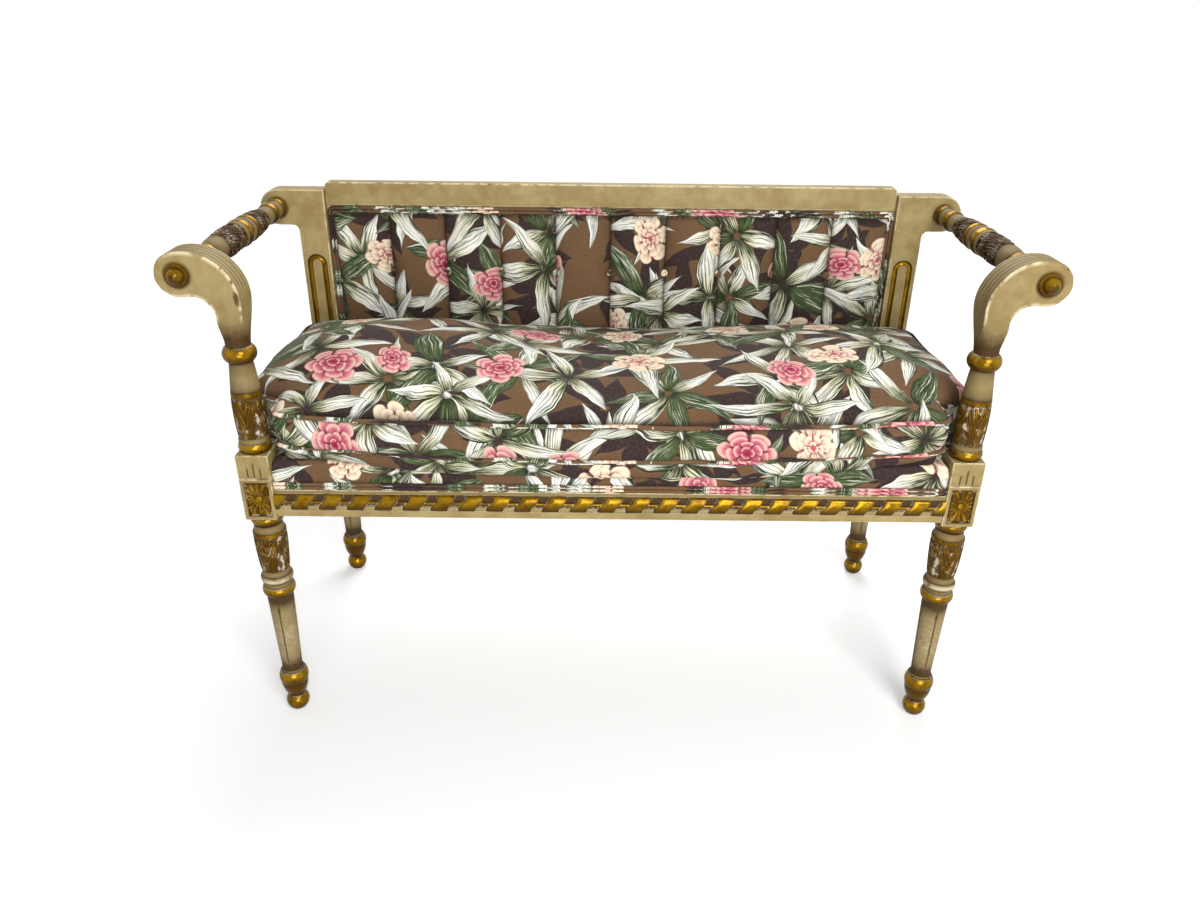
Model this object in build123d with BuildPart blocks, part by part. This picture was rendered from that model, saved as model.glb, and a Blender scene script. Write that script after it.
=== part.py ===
from build123d import *
import os
from math import atan2, cos, degrees, radians, sin
from typing import NamedTuple

# Open-arm settee: a turned, painted and gilded wooden frame with scrolled arms, an upholstered
# seat and back, and a loose box cushion.
# Millimetres. X runs across the seat, Y from front to back and Z up. The origin is on the floor,
# under the middle of the whole settee.


class Turning(NamedTuple):
    """One turned member: its length along the axis, its radius at each end and its swell between."""

    length: float
    start: float
    end: float
    swell: float = 0.0


class Peg(NamedTuple):
    """A round peg across a joint: the point where the joint closes, its direction, length and radius."""

    centre: tuple
    along: tuple
    length: float
    radius: float


# Plan and heights of the frame
leg_span = 1000.0
leg_run = 407.5
leg_height = 362.0
block = 45.5
leg_block_height = 66.0
post_block_height = 37.0

# Turned legs, from the floor up: the shaft takes what the leg height leaves
foot_ball = Turning(28.0, 10.0, 12.0, 6.8)
foot_cup = Turning(27.0, 12.0, 20.4, 2.2)
foot_torus = Turning(23.0, 19.8, 18.2, 3.4)
foot_collar = Turning(4.0, 16.6, 16.0)
shaft_foot_radius = 15.2
shaft_head_radius = 19.5
knee_bead = Turning(17.0, 20.7, 20.7, 3.6)
knee_neck = Turning(7.0, 21.4, 21.4, -1.0)
knee_ring = Turning(12.0, 21.4, 21.4, 2.3)
knee_cove = Turning(9.5, 21.4, 20.0, -0.8)
leg_vase = Turning(66.0, 20.0, 23.4, 0.8)
leg_band = Turning(12.0, 22.4, 20.2, -0.4)
leg_ring = Turning(14.5, 18.6, 21.4, 3.3)
flute_count = 4
flute_width = 1.8
flute_depth = 1.6
flute_margin = 20.0

# Carved rosette on each front leg block, and the gouges above it
rosette_width = 34.0
rosette_height = 54.0
rosette_depth = 2.5
petal_count = 16
petal_relief = 1.8
petal_root = 5.0
petal_reach = 34.0
petal_width = 6.0
rosette_eye_radius = 5.5
gouge_width = 1.8
gouge_depth = 1.5
gouge_pitch = 9.0
gouge_length = 17.0
middle_gouge_extra = 8.0

# Turned arm posts, from the block up
post_ring = Turning(15.0, 20.0, 20.0, 2.8)
post_collar = Turning(8.0, 20.4, 19.4, 0.8)
post_vase = Turning(68.0, 19.2, 20.0, 1.3)
post_flare = Turning(42.0, 20.0, 15.7)
post_bead = Turning(22.0, 17.0, 17.0, 5.8)
post_tenon = Turning(30.0, 8.0, 8.0)

# Scrolled arms: eye, arched top, hollow underside and the neck that rounds down to the post
eye_out = 54.0
eye_rise = 100.0
eye_radius = 29.5
arch_radius = 66.0
arch_lean = 14.0
hollow_radius = 28.0
hollow_lean = 12.0
scroll_depth = 44.5
neck_radius = 16.5
neck_corner = 11.0
reed_count = 3
reed_pitch = 9.0
reed_width = 1.6
reed_depth = 1.2

# Gilt boss on the eye of each scroll
boss_flange = Turning(4.5, 15.5, 14.0, 0.6)
boss_dome = Turning(11.5, 10.8, 3.0, 2.6)
boss_spigot = Turning(14.0, 5.0, 5.0)

# Turned arm spindles, from the scroll back to the ear: the plain shaft takes what is left
spindle_tenon = Turning(14.0, 8.0, 8.0)
spindle_front_ring = Turning(14.0, 15.5, 15.5, 2.5)
spindle_shaft_radius = 14.5
spindle_shaft_swell = 0.8
spindle_bead = Turning(14.0, 14.2, 14.2, 2.6)
spindle_cone = Turning(33.0, 14.0, 18.2, 1.3)
spindle_front_vase = Turning(67.0, 18.2, 19.2, 1.8)
spindle_fillet = Turning(12.0, 20.0, 20.0)
spindle_ring = Turning(22.0, 18.8, 18.8, 2.7)
spindle_waist = Turning(12.0, 19.8, 19.8, -1.0)
spindle_thin_ring = Turning(12.0, 18.9, 18.9, 2.2)
spindle_rear_vase = Turning(53.0, 19.4, 16.6, 1.2)
spindle_throat = Turning(37.0, 16.2, 14.6, -0.4)
spindle_rear_bead = Turning(20.0, 15.0, 15.0, 2.6)
spindle_rear_waist = Turning(20.0, 14.8, 14.8, -0.8)
spindle_rear_ring = Turning(18.0, 14.8, 14.8, 2.4)

# Back uprights, crest and lower back rail
upright_width = 47.5
upright_depth = 36.0
ear_radius = 29.0
ear_fillet = 10.0
groove_outer_width = 33.0
groove_band = 8.5
groove_depth = 2.0
groove_top_drop = 106.0
groove_length = 165.0
crest_height = 38.0
crest_rise = 11.0
crest_depth = 24.0
crest_corner = 8.0
back_tongue_height = 22.0
back_tongue_depth = 9.0
back_tongue_setback = 7.0
lower_rail_height = 20.0
lower_rail_rise = 8.0

# Seat rails and the braces in their corners
rail_rise = 5.0
rail_height = 43.5
rail_depth = 25.0
rail_setback = 2.75
brace_reach = 85.0
brace_width = 32.0
brace_height = 30.0
screw_shank_radius = 2.2
screw_head_radius = 4.5
screw_head_height = 3.2
screw_length = 34.0
screw_clearance = 0.1

# Ribbon-and-stick moulding let into the front rail
moulding_height = 25.0
moulding_rise = 12.0
moulding_bed = 4.0
moulding_clearance = 0.1
ribbon_pitch = 39.0
ribbon_width = 23.0
ribbon_lean = 8.0
ribbon_bulge = 6.0
stick_height = 9.0
stick_bulge = 3.0

# Pegs of the joints
peg_radius = 4.0
peg_length = 34.0
post_peg_radius = 5.0
post_peg_length = 40.0
peg_clearance = 0.1

# Sprung seat: webbing, hessian, stuffing and cover
web_width = 50.0
web_thickness = 1.5
web_count_across = 8
web_count_along = 4
hessian_thickness = 1.0
deck_height = 45.0
deck_setback = 5.0
deck_clearance = 0.75
deck_round = 9.0
cover_thickness = 1.5
welt_radius = 2.7
welt_gap = 0.3

# Upholstered back: board, channelled pad with one row of buttons, double welt and outside cover
board_thickness = 5.0
board_clearance = 0.5
channel_count = 10
pad_depth = 18.0
pleat_depth = 9.0
pad_round = 9.0
tuft_radius = 17.0
tuft_depth = 5.0
button_radius = 7.0
button_height = 4.5
button_drop = 97.0
outside_thickness = 1.5

# Loose cushion: plan, seams and crown
cushion_rest_gap = 0.5
cushion_tongue_gap = 15.0
cushion_front = 22.0
cushion_shoulder_gap = 9.5
cushion_shoulder_slope = 30.0
cushion_side_gap = 17.3
cushion_back_gap = 10.0
cushion_front_corner = 18.0
cushion_shoulder_corner = 6.0
cushion_side_corner = 30.0
cushion_rear_corner = 34.0
cushion_underside = 14.0
cushion_underside_inset = 16.0
cushion_boxing = 51.0
cushion_boxing_bulge = 4.0
crown_middle = 55.0
crown_shoulder = 68.0
crown_side = 38.0
crown_shoulder_share = 0.66
crown_side_share = 0.9
piping_radius = 3.3
piping_gap = 0.5

# Places worked out from the sizes above
UP = (0, 0, 1)
BACKWARD = (0, 1, 0)
FORWARD = (0, -1, 0)
ACROSS = (1, 0, 0)
BOTTOM = (Align.CENTER, Align.CENTER, Align.MIN)
boss_reach = boss_flange.length + boss_dome.length
leg_widest = knee_bead.start + knee_bead.swell
leg_x = leg_span / 2
front_y = (boss_reach + scroll_depth / 2 - leg_widest - leg_run) / 2
rear_y = front_y + leg_run
joint_z = leg_height + leg_block_height
block_top_z = joint_z + post_block_height
rail_z = leg_height + rail_rise
rail_top_z = rail_z + rail_height
rail_inner_x = leg_x - block / 2
rail_front_y = front_y - block / 2 + rail_setback
rail_rear_y = rear_y + block / 2 - rail_setback
rail_side_x = leg_x + block / 2 - rail_setback
post_turning = (post_ring, post_collar, post_vase, post_flare, post_bead, post_tenon)
post_head_z = block_top_z + sum(member.length for member in post_turning[:-1])
eye_x = leg_x + eye_out
eye_z = post_head_z + eye_rise
scroll_front_y = front_y - scroll_depth / 2
scroll_rear_y = front_y + scroll_depth / 2
upright_front_y = rear_y - upright_depth / 2
upright_rear_y = rear_y + upright_depth / 2
upright_inner_x = leg_x - upright_width / 2
upright_outer_x = leg_x + upright_width / 2
upright_top_z = eye_z + ear_radius
crest_top_z = upright_top_z + crest_rise
crest_foot_z = crest_top_z - crest_height
crest_front_y = upright_rear_y - crest_depth
deck_top_z = rail_top_z + deck_height
lower_rail_z = deck_top_z + lower_rail_rise
tongue_front_y = crest_front_y + back_tongue_setback
tongue_rear_y = tongue_front_y + back_tongue_depth
board_front_y = tongue_front_y - board_thickness
board_low_z = lower_rail_z + lower_rail_height + board_clearance
board_high_z = crest_foot_z - board_clearance
board_half = upright_inner_x - board_clearance
welt_span = 2 * (2 * welt_radius + welt_gap)
pad_half = board_half - welt_span
pad_low_z = board_low_z + welt_span
pad_high_z = board_high_z - welt_span
pad_front_y = board_front_y - pad_depth
channel_pitch = 2 * pad_half / channel_count
button_z = pad_high_z - button_drop


def place(point, along):
    """A plane at a point whose second axis runs along a direction and whose first runs across."""
    return Plane(point, x_dir=ACROSS, z_dir=Vector(ACROSS).cross(Vector(along)))


def turned_face(point, along, members):
    """Half the outline of a turning that starts at a point, to be turned about its own axis."""
    with BuildSketch(place(point, along)) as outline:
        with BuildLine():
            height = 0.0
            radius = 0.0
            for member in members:
                if member.start != radius:
                    Line((radius, height), (member.start, height))
                low = (member.start, height)
                height += member.length
                high = (member.end, height)
                if member.swell:
                    waist = (member.start + member.end) / 2 + member.swell
                    ThreePointArc(low, (waist, height - member.length / 2), high)
                else:
                    Line(low, high)
                radius = member.end
            Polyline((radius, height), (0, height), (0, 0))
        make_face()
    return outline.sketch


def write(part, name):
    """Labels a finished piece and writes it under its name."""
    part.label = name
    export_step(part, f"parts/{name}.step")


def write_pair(part, name):
    """Writes a right-hand piece and its mirror image on the left."""
    with BuildPart() as other:
        mirror(part, about=Plane.YZ)
    write(part, f"{name}_right")
    write(other.part, f"{name}_left")


def bore_pegs(pegs):
    """The round holes that a set of pegs needs, as one private solid for cutting."""
    with BuildPart(mode=Mode.PRIVATE) as holes:
        for peg in pegs:
            with Locations(Plane(peg.centre, z_dir=peg.along)):
                Cylinder(peg.radius + peg_clearance, peg.length + 2 * peg_clearance)
    return holes.part


def mirrored_pegs(pegs):
    """Pegs and their mirror images on the left."""
    return pegs + [peg._replace(centre=(-peg.centre[0], *peg.centre[1:])) for peg in pegs]


def write_pegs(pegs, name):
    """Writes a group of like pegs as one node."""
    with BuildPart() as group:
        for peg in pegs:
            with Locations(Plane(peg.centre, z_dir=peg.along)):
                Cylinder(peg.radius, peg.length)
    write(group.part, name)


# Pegs of the right-hand joints
rail_peg_heights = (rail_z + rail_height * 0.28, rail_z + rail_height * 0.72)
front_rail_pegs = [
    Peg((rail_inner_x, rail_front_y + rail_depth / 2, z), ACROSS, peg_length, peg_radius)
    for z in rail_peg_heights
]
rear_rail_pegs = [
    Peg((rail_inner_x, rail_rear_y - rail_depth / 2, z), ACROSS, peg_length, peg_radius)
    for z in rail_peg_heights
]
side_front_pegs = [
    Peg((rail_side_x - rail_depth / 2, front_y + block / 2, z), BACKWARD, peg_length, peg_radius)
    for z in rail_peg_heights
]
side_rear_pegs = [
    Peg((rail_side_x - rail_depth / 2, rear_y - block / 2, z), BACKWARD, peg_length, peg_radius)
    for z in rail_peg_heights
]
arm_post_peg = Peg((leg_x, front_y, joint_z), UP, post_peg_length, post_peg_radius)
upright_peg = Peg((leg_x, rear_y, joint_z), UP, post_peg_length, post_peg_radius)
back_peg_y = upright_rear_y - crest_depth / 2
crest_pegs = [
    Peg((upright_inner_x, back_peg_y, crest_foot_z + crest_height * share), ACROSS, peg_length, peg_radius)
    for share in (0.2, 0.6)
]
lower_rail_pegs = [
    Peg((upright_inner_x, back_peg_y, lower_rail_z + lower_rail_height / 2), ACROSS, peg_length, peg_radius)
]

os.makedirs("parts", exist_ok=True)

# Legs: one turning for all four, a square block above it, and incised flutes up the shaft
below_shaft = (foot_ball, foot_cup, foot_torus, foot_collar)
above_shaft = (knee_bead, knee_neck, knee_ring, knee_cove, leg_vase, leg_band, leg_ring)
shaft_foot_z = sum(member.length for member in below_shaft)
shaft_length = leg_height - shaft_foot_z - sum(member.length for member in above_shaft)
leg_shaft = Turning(shaft_length, shaft_foot_radius, shaft_head_radius)
leg_turning = (*below_shaft, leg_shaft, *above_shaft)


def turned_leg(y):
    """A turned leg with its block, standing on the floor at the right-hand leg axis."""
    foot = (leg_x, y, 0)
    with BuildPart() as leg:
        revolve(turned_face(foot, UP, leg_turning), axis=Axis(foot, UP))
        with Locations((leg_x, y, leg_height)):
            Box(block, block, leg_block_height, align=BOTTOM)
        flute_middle_z = shaft_foot_z + shaft_length / 2
        flute_length = shaft_length - 2 * flute_margin
        shaft_lean = degrees(atan2(shaft_head_radius - shaft_foot_radius, shaft_length))
        with Locations((leg_x, y, flute_middle_z)):
            with PolarLocations((shaft_foot_radius + shaft_head_radius) / 2, flute_count):
                Box(2 * flute_depth, flute_width, flute_length, rotation=(0, shaft_lean, 0), mode=Mode.SUBTRACT)
    return leg.part


rosette_plane = Plane((leg_x, front_y - block / 2, leg_height + leg_block_height / 2), x_dir=ACROSS, z_dir=FORWARD)
with BuildPart() as front_leg:
    add(turned_leg(front_y))
    with BuildSketch(rosette_plane):
        Rectangle(rosette_width, rosette_height)
    extrude(amount=-rosette_depth, mode=Mode.SUBTRACT)
    with BuildSketch(rosette_plane.offset(-rosette_depth)):
        with PolarLocations(0, petal_count, start_angle=180 / petal_count):
            Polygon(
                (petal_root, 0),
                (petal_reach * 0.6, -petal_width / 2),
                (petal_reach, 0),
                (petal_reach * 0.6, petal_width / 2),
                align=None,
            )
        Rectangle(rosette_width, rosette_height, mode=Mode.INTERSECT)
        Circle(rosette_eye_radius)
    extrude(amount=petal_relief)
    add(bore_pegs([*front_rail_pegs, *side_front_pegs, arm_post_peg]), mode=Mode.SUBTRACT)
write_pair(front_leg.part, "front_leg")

with BuildPart() as back_leg:
    add(turned_leg(rear_y))
    add(bore_pegs([*rear_rail_pegs, *side_rear_pegs, upright_peg]), mode=Mode.SUBTRACT)
write_pair(back_leg.part, "back_leg")

# Arm posts: a block with three gouges, then ring, vase, flare and bead, and a round tenon on top
post_foot = (leg_x, front_y, block_top_z)
gouge_z = joint_z + gouge_width
with BuildPart() as arm_post:
    revolve(turned_face(post_foot, UP, post_turning), axis=Axis(post_foot, UP))
    with Locations((leg_x, front_y, joint_z)):
        Box(block, block, post_block_height, align=BOTTOM)
    with BuildSketch(Plane((leg_x, front_y - block / 2, gouge_z), x_dir=ACROSS, z_dir=FORWARD)):
        with GridLocations(gouge_pitch, 0, 3, 1):
            Rectangle(gouge_width, gouge_length, align=(Align.CENTER, Align.MIN))
        Rectangle(gouge_width, gouge_length + middle_gouge_extra, align=(Align.CENTER, Align.MIN))
    extrude(amount=-gouge_depth, mode=Mode.SUBTRACT)
    add(bore_pegs([arm_post_peg]), mode=Mode.SUBTRACT)
write_pair(arm_post.part, "arm_post")

# Scrolled arms: one sawn outline of tangent arcs, and a neck that rounds down to the post
arch_toward = Vector(sin(radians(arch_lean)), cos(radians(arch_lean)))
hollow_toward = Vector(sin(radians(hollow_lean)), cos(radians(hollow_lean)))
eye_point = Vector(eye_x, eye_z)
arch_centre = eye_point - arch_toward * (arch_radius - eye_radius)
hollow_centre = eye_point - hollow_toward * (eye_radius + hollow_radius)
arch_foot = arch_centre - Vector(arch_radius, 0)
hollow_foot = hollow_centre - Vector(hollow_radius, 0)
neck_top_z = hollow_foot.Y
neck_share = (neck_top_z - post_head_z) / (arch_foot.Y - post_head_z)
neck_inner_x = (leg_x - neck_radius) * (1 - neck_share) + arch_foot.X * neck_share
neck_top_x = (neck_inner_x + hollow_foot.X) / 2
neck_top_width = hollow_foot.X - neck_inner_x
with BuildPart() as arm_scroll:
    with BuildSketch(place((0, scroll_rear_y, 0), UP)):
        with BuildLine():
            Line((neck_inner_x, neck_top_z), arch_foot)
            CenterArc(arch_centre, arch_radius, 180, -90 - arch_lean)
            CenterArc(eye_point, eye_radius, 90 - arch_lean, arch_lean - 180 - hollow_lean)
            CenterArc(hollow_centre, hollow_radius, 90 - hollow_lean, 90 + hollow_lean)
            Line(hollow_foot, (neck_inner_x, neck_top_z))
        make_face()
    extrude(amount=scroll_depth)
    with BuildSketch(Plane((leg_x, front_y, post_head_z))):
        RectangleRounded(2 * neck_radius, 2 * neck_radius, neck_radius * 0.97)
    with BuildSketch(Plane((neck_top_x, front_y, neck_top_z))):
        RectangleRounded(neck_top_width, scroll_depth, neck_corner)
    loft()
    arch_axis = Axis((arch_centre.X, front_y, arch_centre.Y), BACKWARD)
    with BuildSketch(Plane((arch_centre.X, front_y, arch_centre.Y), x_dir=ACROSS, z_dir=UP)):
        with Locations((-arch_radius, 0)):
            with GridLocations(0, reed_pitch, 1, reed_count):
                Rectangle(2 * reed_depth, reed_width)
    revolve(axis=arch_axis, revolution_arc=90 + arch_lean, mode=Mode.SUBTRACT)
    post_mortise = post_tenon.length + peg_clearance
    with Locations((leg_x, front_y, post_head_z)):
        Cylinder(post_tenon.start + peg_clearance, post_mortise, align=BOTTOM, mode=Mode.SUBTRACT)
    with Locations(Plane((eye_x, scroll_rear_y, eye_z), z_dir=FORWARD)):
        spindle_mortise = spindle_tenon.length + peg_clearance
        Cylinder(spindle_tenon.start + peg_clearance, spindle_mortise, align=BOTTOM, mode=Mode.SUBTRACT)
    with Locations(Plane((eye_x, scroll_front_y, eye_z), z_dir=BACKWARD)):
        boss_mortise = boss_spigot.length + peg_clearance
        Cylinder(boss_spigot.start + peg_clearance, boss_mortise, align=BOTTOM, mode=Mode.SUBTRACT)
write_pair(arm_scroll.part, "arm_scroll")

# Gilt bosses: a spigot in the scroll, a flange against its face and a dome
boss_root = (eye_x, scroll_front_y + boss_spigot.length, eye_z)
with BuildPart() as scroll_boss:
    revolve(turned_face(boss_root, FORWARD, (boss_spigot, boss_flange, boss_dome)), axis=Axis(boss_root, FORWARD))
write_pair(scroll_boss.part, "scroll_boss")

# Arm spindles: tenoned into the scroll in front and the ear behind
front_members = (spindle_tenon, spindle_front_ring)
rear_members = (
    spindle_bead,
    spindle_cone,
    spindle_front_vase,
    spindle_fillet,
    spindle_ring,
    spindle_waist,
    spindle_thin_ring,
    spindle_rear_vase,
    spindle_throat,
    spindle_rear_bead,
    spindle_rear_waist,
    spindle_rear_ring,
)
spindle_clear = upright_front_y - scroll_rear_y
spindle_turned = spindle_front_ring.length + sum(member.length for member in rear_members)
spindle_shaft = Turning(
    spindle_clear - spindle_turned, spindle_shaft_radius, spindle_shaft_radius, spindle_shaft_swell
)
spindle_root = (eye_x, scroll_rear_y - spindle_tenon.length, eye_z)
spindle_turning = (*front_members, spindle_shaft, *rear_members, spindle_tenon)
with BuildPart() as arm_spindle:
    revolve(turned_face(spindle_root, BACKWARD, spindle_turning), axis=Axis(spindle_root, BACKWARD))
write_pair(arm_spindle.part, "arm_spindle")

# Back uprights: a straight stile with an ear at the top, and an arched gilt groove in its face
with BuildPart() as back_upright:
    with BuildSketch(place((0, upright_rear_y, 0), UP)):
        with BuildLine():
            Polyline(
                (eye_x, upright_top_z),
                (upright_inner_x, upright_top_z),
                (upright_inner_x, joint_z),
                (upright_outer_x, joint_z),
                (upright_outer_x, eye_z - ear_radius - ear_fillet),
            )
            CenterArc(
                (upright_outer_x + ear_fillet, eye_z - ear_radius - ear_fillet), ear_fillet, 180, -90
            )
            Line((upright_outer_x + ear_fillet, eye_z - ear_radius), (eye_x, eye_z - ear_radius))
            CenterArc((eye_x, eye_z), ear_radius, -90, 180)
        make_face()
    extrude(amount=upright_depth)
    with BuildSketch(place((leg_x, upright_front_y, upright_top_z - groove_top_drop), UP)):
        groove_radius = groove_outer_width / 2
        inner_radius = groove_radius - groove_band
        with Locations((0, -groove_radius)):
            Circle(groove_radius)
            Rectangle(groove_outer_width, groove_length, align=(Align.CENTER, Align.MAX))
            Circle(inner_radius, mode=Mode.SUBTRACT)
            Rectangle(2 * inner_radius, groove_length, align=(Align.CENTER, Align.MAX), mode=Mode.SUBTRACT)
    extrude(amount=-groove_depth, mode=Mode.SUBTRACT)
    with Locations(Plane((eye_x, upright_front_y, eye_z), z_dir=BACKWARD)):
        ear_mortise = spindle_tenon.length + peg_clearance
        Cylinder(spindle_tenon.start + peg_clearance, ear_mortise, align=BOTTOM, mode=Mode.SUBTRACT)
    add(bore_pegs([upright_peg, *crest_pegs, *lower_rail_pegs]), mode=Mode.SUBTRACT)
write_pair(back_upright.part, "back_upright")

# Crest and lower back rail: each has a thinner tongue that the upholstered board is fixed to
tongue_middle_y = (tongue_front_y + tongue_rear_y) / 2
crest_middle_y = (crest_front_y + upright_rear_y) / 2
with BuildPart() as crest_rail:
    with BuildSketch(place((0, upright_rear_y, 0), UP)):
        with BuildLine():
            FilletPolyline(
                (0, crest_top_z),
                (upright_inner_x, crest_top_z),
                (upright_inner_x, crest_foot_z),
                radius=crest_corner,
            )
            Polyline((upright_inner_x, crest_foot_z), (0, crest_foot_z), (0, crest_top_z))
        make_face()
        mirror(about=Plane.YZ)
    extrude(amount=crest_depth)
    with Locations((0, tongue_middle_y, crest_foot_z - back_tongue_height)):
        Box(2 * upright_inner_x, back_tongue_depth, back_tongue_height, align=BOTTOM)
    add(bore_pegs(mirrored_pegs(crest_pegs)), mode=Mode.SUBTRACT)
write(crest_rail.part, "crest_rail")

with BuildPart() as back_lower_rail:
    with Locations((0, crest_middle_y, lower_rail_z)):
        Box(2 * upright_inner_x, crest_depth, lower_rail_height, align=BOTTOM)
    with Locations((0, tongue_middle_y, lower_rail_z + lower_rail_height)):
        Box(2 * upright_inner_x, back_tongue_depth, back_tongue_height, align=BOTTOM)
    add(bore_pegs(mirrored_pegs(lower_rail_pegs)), mode=Mode.SUBTRACT)
write(back_lower_rail.part, "back_lower_rail")

# Seat rails between the blocks, and the diagonal braces screwed into their corners
side_rail_length = leg_run - block
brace_z = rail_z + (rail_height - brace_height) / 2
screw_z = brace_z + brace_height / 2
brace_end_x = rail_side_x - rail_depth
front_brace_y = rail_front_y + rail_depth
rear_brace_y = rail_rear_y - rail_depth


class Screw(NamedTuple):
    """A brace screw: where its head seats on the brace and the way it points into a rail."""

    seat: tuple
    along: tuple


def brace_screws(rail_face_y, inward):
    """The two screws of one right-hand brace, into its cross rail and its side rail."""
    reach = brace_reach - brace_width / 2
    head_sink = brace_width / 2
    return [
        Screw((brace_end_x - reach, rail_face_y + inward * head_sink, screw_z), (0, -inward, 0)),
        Screw((brace_end_x - head_sink, rail_face_y + inward * reach, screw_z), ACROSS),
    ]


right_screws = [*brace_screws(front_brace_y, 1), *brace_screws(rear_brace_y, -1)]


def screw_group(screws, grow):
    """Screws, or with grow the holes that they need, as one private solid."""
    with BuildPart(mode=Mode.PRIVATE) as group:
        for screw in screws:
            with Locations(Plane(screw.seat, z_dir=screw.along)):
                Cylinder(screw_shank_radius + grow, screw_length + grow, align=BOTTOM)
                Cylinder(screw_head_radius + grow, screw_head_height, align=BOTTOM)
    return group.part


def screw_holes(screws):
    """Shank holes, and a counterbore that runs out through the sloping face of the brace."""
    with BuildPart(mode=Mode.PRIVATE) as holes:
        add(screw_group(screws, screw_clearance))
        for screw in screws:
            with Locations(Plane(screw.seat, z_dir=tuple(-step for step in screw.along))):
                Cylinder(screw_head_radius + screw_clearance, brace_width, align=BOTTOM)
    return holes.part


moulding_z = rail_z + moulding_rise
with BuildPart() as front_rail:
    with Locations((0, rail_front_y + rail_depth / 2, rail_z)):
        Box(2 * rail_inner_x, rail_depth, rail_height, align=BOTTOM)
    with BuildSketch(place((0, rail_front_y, moulding_z - moulding_clearance), UP)):
        bed_height = moulding_height + 2 * moulding_clearance
        Rectangle(2 * rail_inner_x, bed_height, align=(Align.CENTER, Align.MIN))
    extrude(amount=-moulding_bed, mode=Mode.SUBTRACT)
    add(bore_pegs(mirrored_pegs(front_rail_pegs)), mode=Mode.SUBTRACT)
    add(screw_group(right_screws[:1], screw_clearance), mode=Mode.SUBTRACT)
    mirror(screw_group(right_screws[:1], screw_clearance), about=Plane.YZ, mode=Mode.SUBTRACT)
write(front_rail.part, "front_rail")

with BuildPart() as rear_rail:
    with Locations((0, rail_rear_y - rail_depth / 2, rail_z)):
        Box(2 * rail_inner_x, rail_depth, rail_height, align=BOTTOM)
    add(bore_pegs(mirrored_pegs(rear_rail_pegs)), mode=Mode.SUBTRACT)
    add(screw_group(right_screws[2:3], screw_clearance), mode=Mode.SUBTRACT)
    mirror(screw_group(right_screws[2:3], screw_clearance), about=Plane.YZ, mode=Mode.SUBTRACT)
write(rear_rail.part, "rear_rail")

with BuildPart() as side_rail:
    with Locations((rail_side_x - rail_depth / 2, (front_y + rear_y) / 2, rail_z)):
        Box(rail_depth, side_rail_length, rail_height, align=BOTTOM)
    add(bore_pegs([*side_front_pegs, *side_rear_pegs]), mode=Mode.SUBTRACT)
    add(screw_group([right_screws[1], right_screws[3]], screw_clearance), mode=Mode.SUBTRACT)
write_pair(side_rail.part, "side_rail")

with BuildPart() as corner_braces:
    for face_y, inward in ((front_brace_y, 1), (rear_brace_y, -1)):
        with BuildSketch(Plane.XY.offset(brace_z)):
            Polygon(
                (brace_end_x - brace_reach, face_y),
                (brace_end_x - brace_reach + brace_width, face_y),
                (brace_end_x, face_y + inward * (brace_reach - brace_width)),
                (brace_end_x, face_y + inward * brace_reach),
                align=None,
            )
        extrude(amount=brace_height)
    add(screw_holes(right_screws), mode=Mode.SUBTRACT)
    mirror(about=Plane.YZ)
write(corner_braces.part, "corner_braces")

with BuildPart() as corner_screws:
    add(screw_group(right_screws, 0))
    mirror(about=Plane.YZ)
write(corner_screws.part, "corner_screws")

# Ribbon-and-stick moulding: a flat bed, a half-round stick along it and the ribbon wound round that
ribbon_count = round(2 * rail_inner_x / ribbon_pitch)
ribbon_step = 2 * rail_inner_x / ribbon_count


def half_round(height, bulge):
    """The section of a half-round bar centred on the moulding, seen from the side."""
    middle_z = moulding_z + moulding_height / 2
    with BuildSketch(Plane((-rail_inner_x, rail_front_y, middle_z), x_dir=FORWARD, z_dir=ACROSS)) as section:
        with BuildLine():
            ThreePointArc((0, -height / 2), (bulge, 0), (0, height / 2))
            Line((0, height / 2), (0, -height / 2))
        make_face()
    return section.sketch


with BuildPart() as ribbon_moulding:
    extrude(half_round(moulding_height, ribbon_bulge), amount=2 * rail_inner_x, dir=ACROSS)
    with BuildSketch(place((0, rail_front_y, moulding_z), UP)):
        with GridLocations(ribbon_step, 0, ribbon_count, 1):
            Polygon(
                (-ribbon_width / 2 - ribbon_lean / 2, 0),
                (ribbon_width / 2 - ribbon_lean / 2, 0),
                (ribbon_width / 2 + ribbon_lean / 2, moulding_height),
                (-ribbon_width / 2 + ribbon_lean / 2, moulding_height),
                align=None,
            )
    extrude(amount=ribbon_bulge, mode=Mode.INTERSECT)
    extrude(half_round(stick_height, stick_bulge), amount=2 * rail_inner_x, dir=ACROSS)
    with Locations((0, rail_front_y + moulding_bed / 2, moulding_z)):
        Box(2 * rail_inner_x, moulding_bed, moulding_height, align=BOTTOM)
write(ribbon_moulding.part, "ribbon_moulding")

# Pegs, grouped by the joint they close
write_pegs(mirrored_pegs([*front_rail_pegs, *rear_rail_pegs, *side_front_pegs, *side_rear_pegs]), "rail_dowels")
write_pegs(mirrored_pegs([arm_post_peg, upright_peg]), "post_dowels")
write_pegs(mirrored_pegs([*crest_pegs, *lower_rail_pegs]), "back_dowels")

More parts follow.
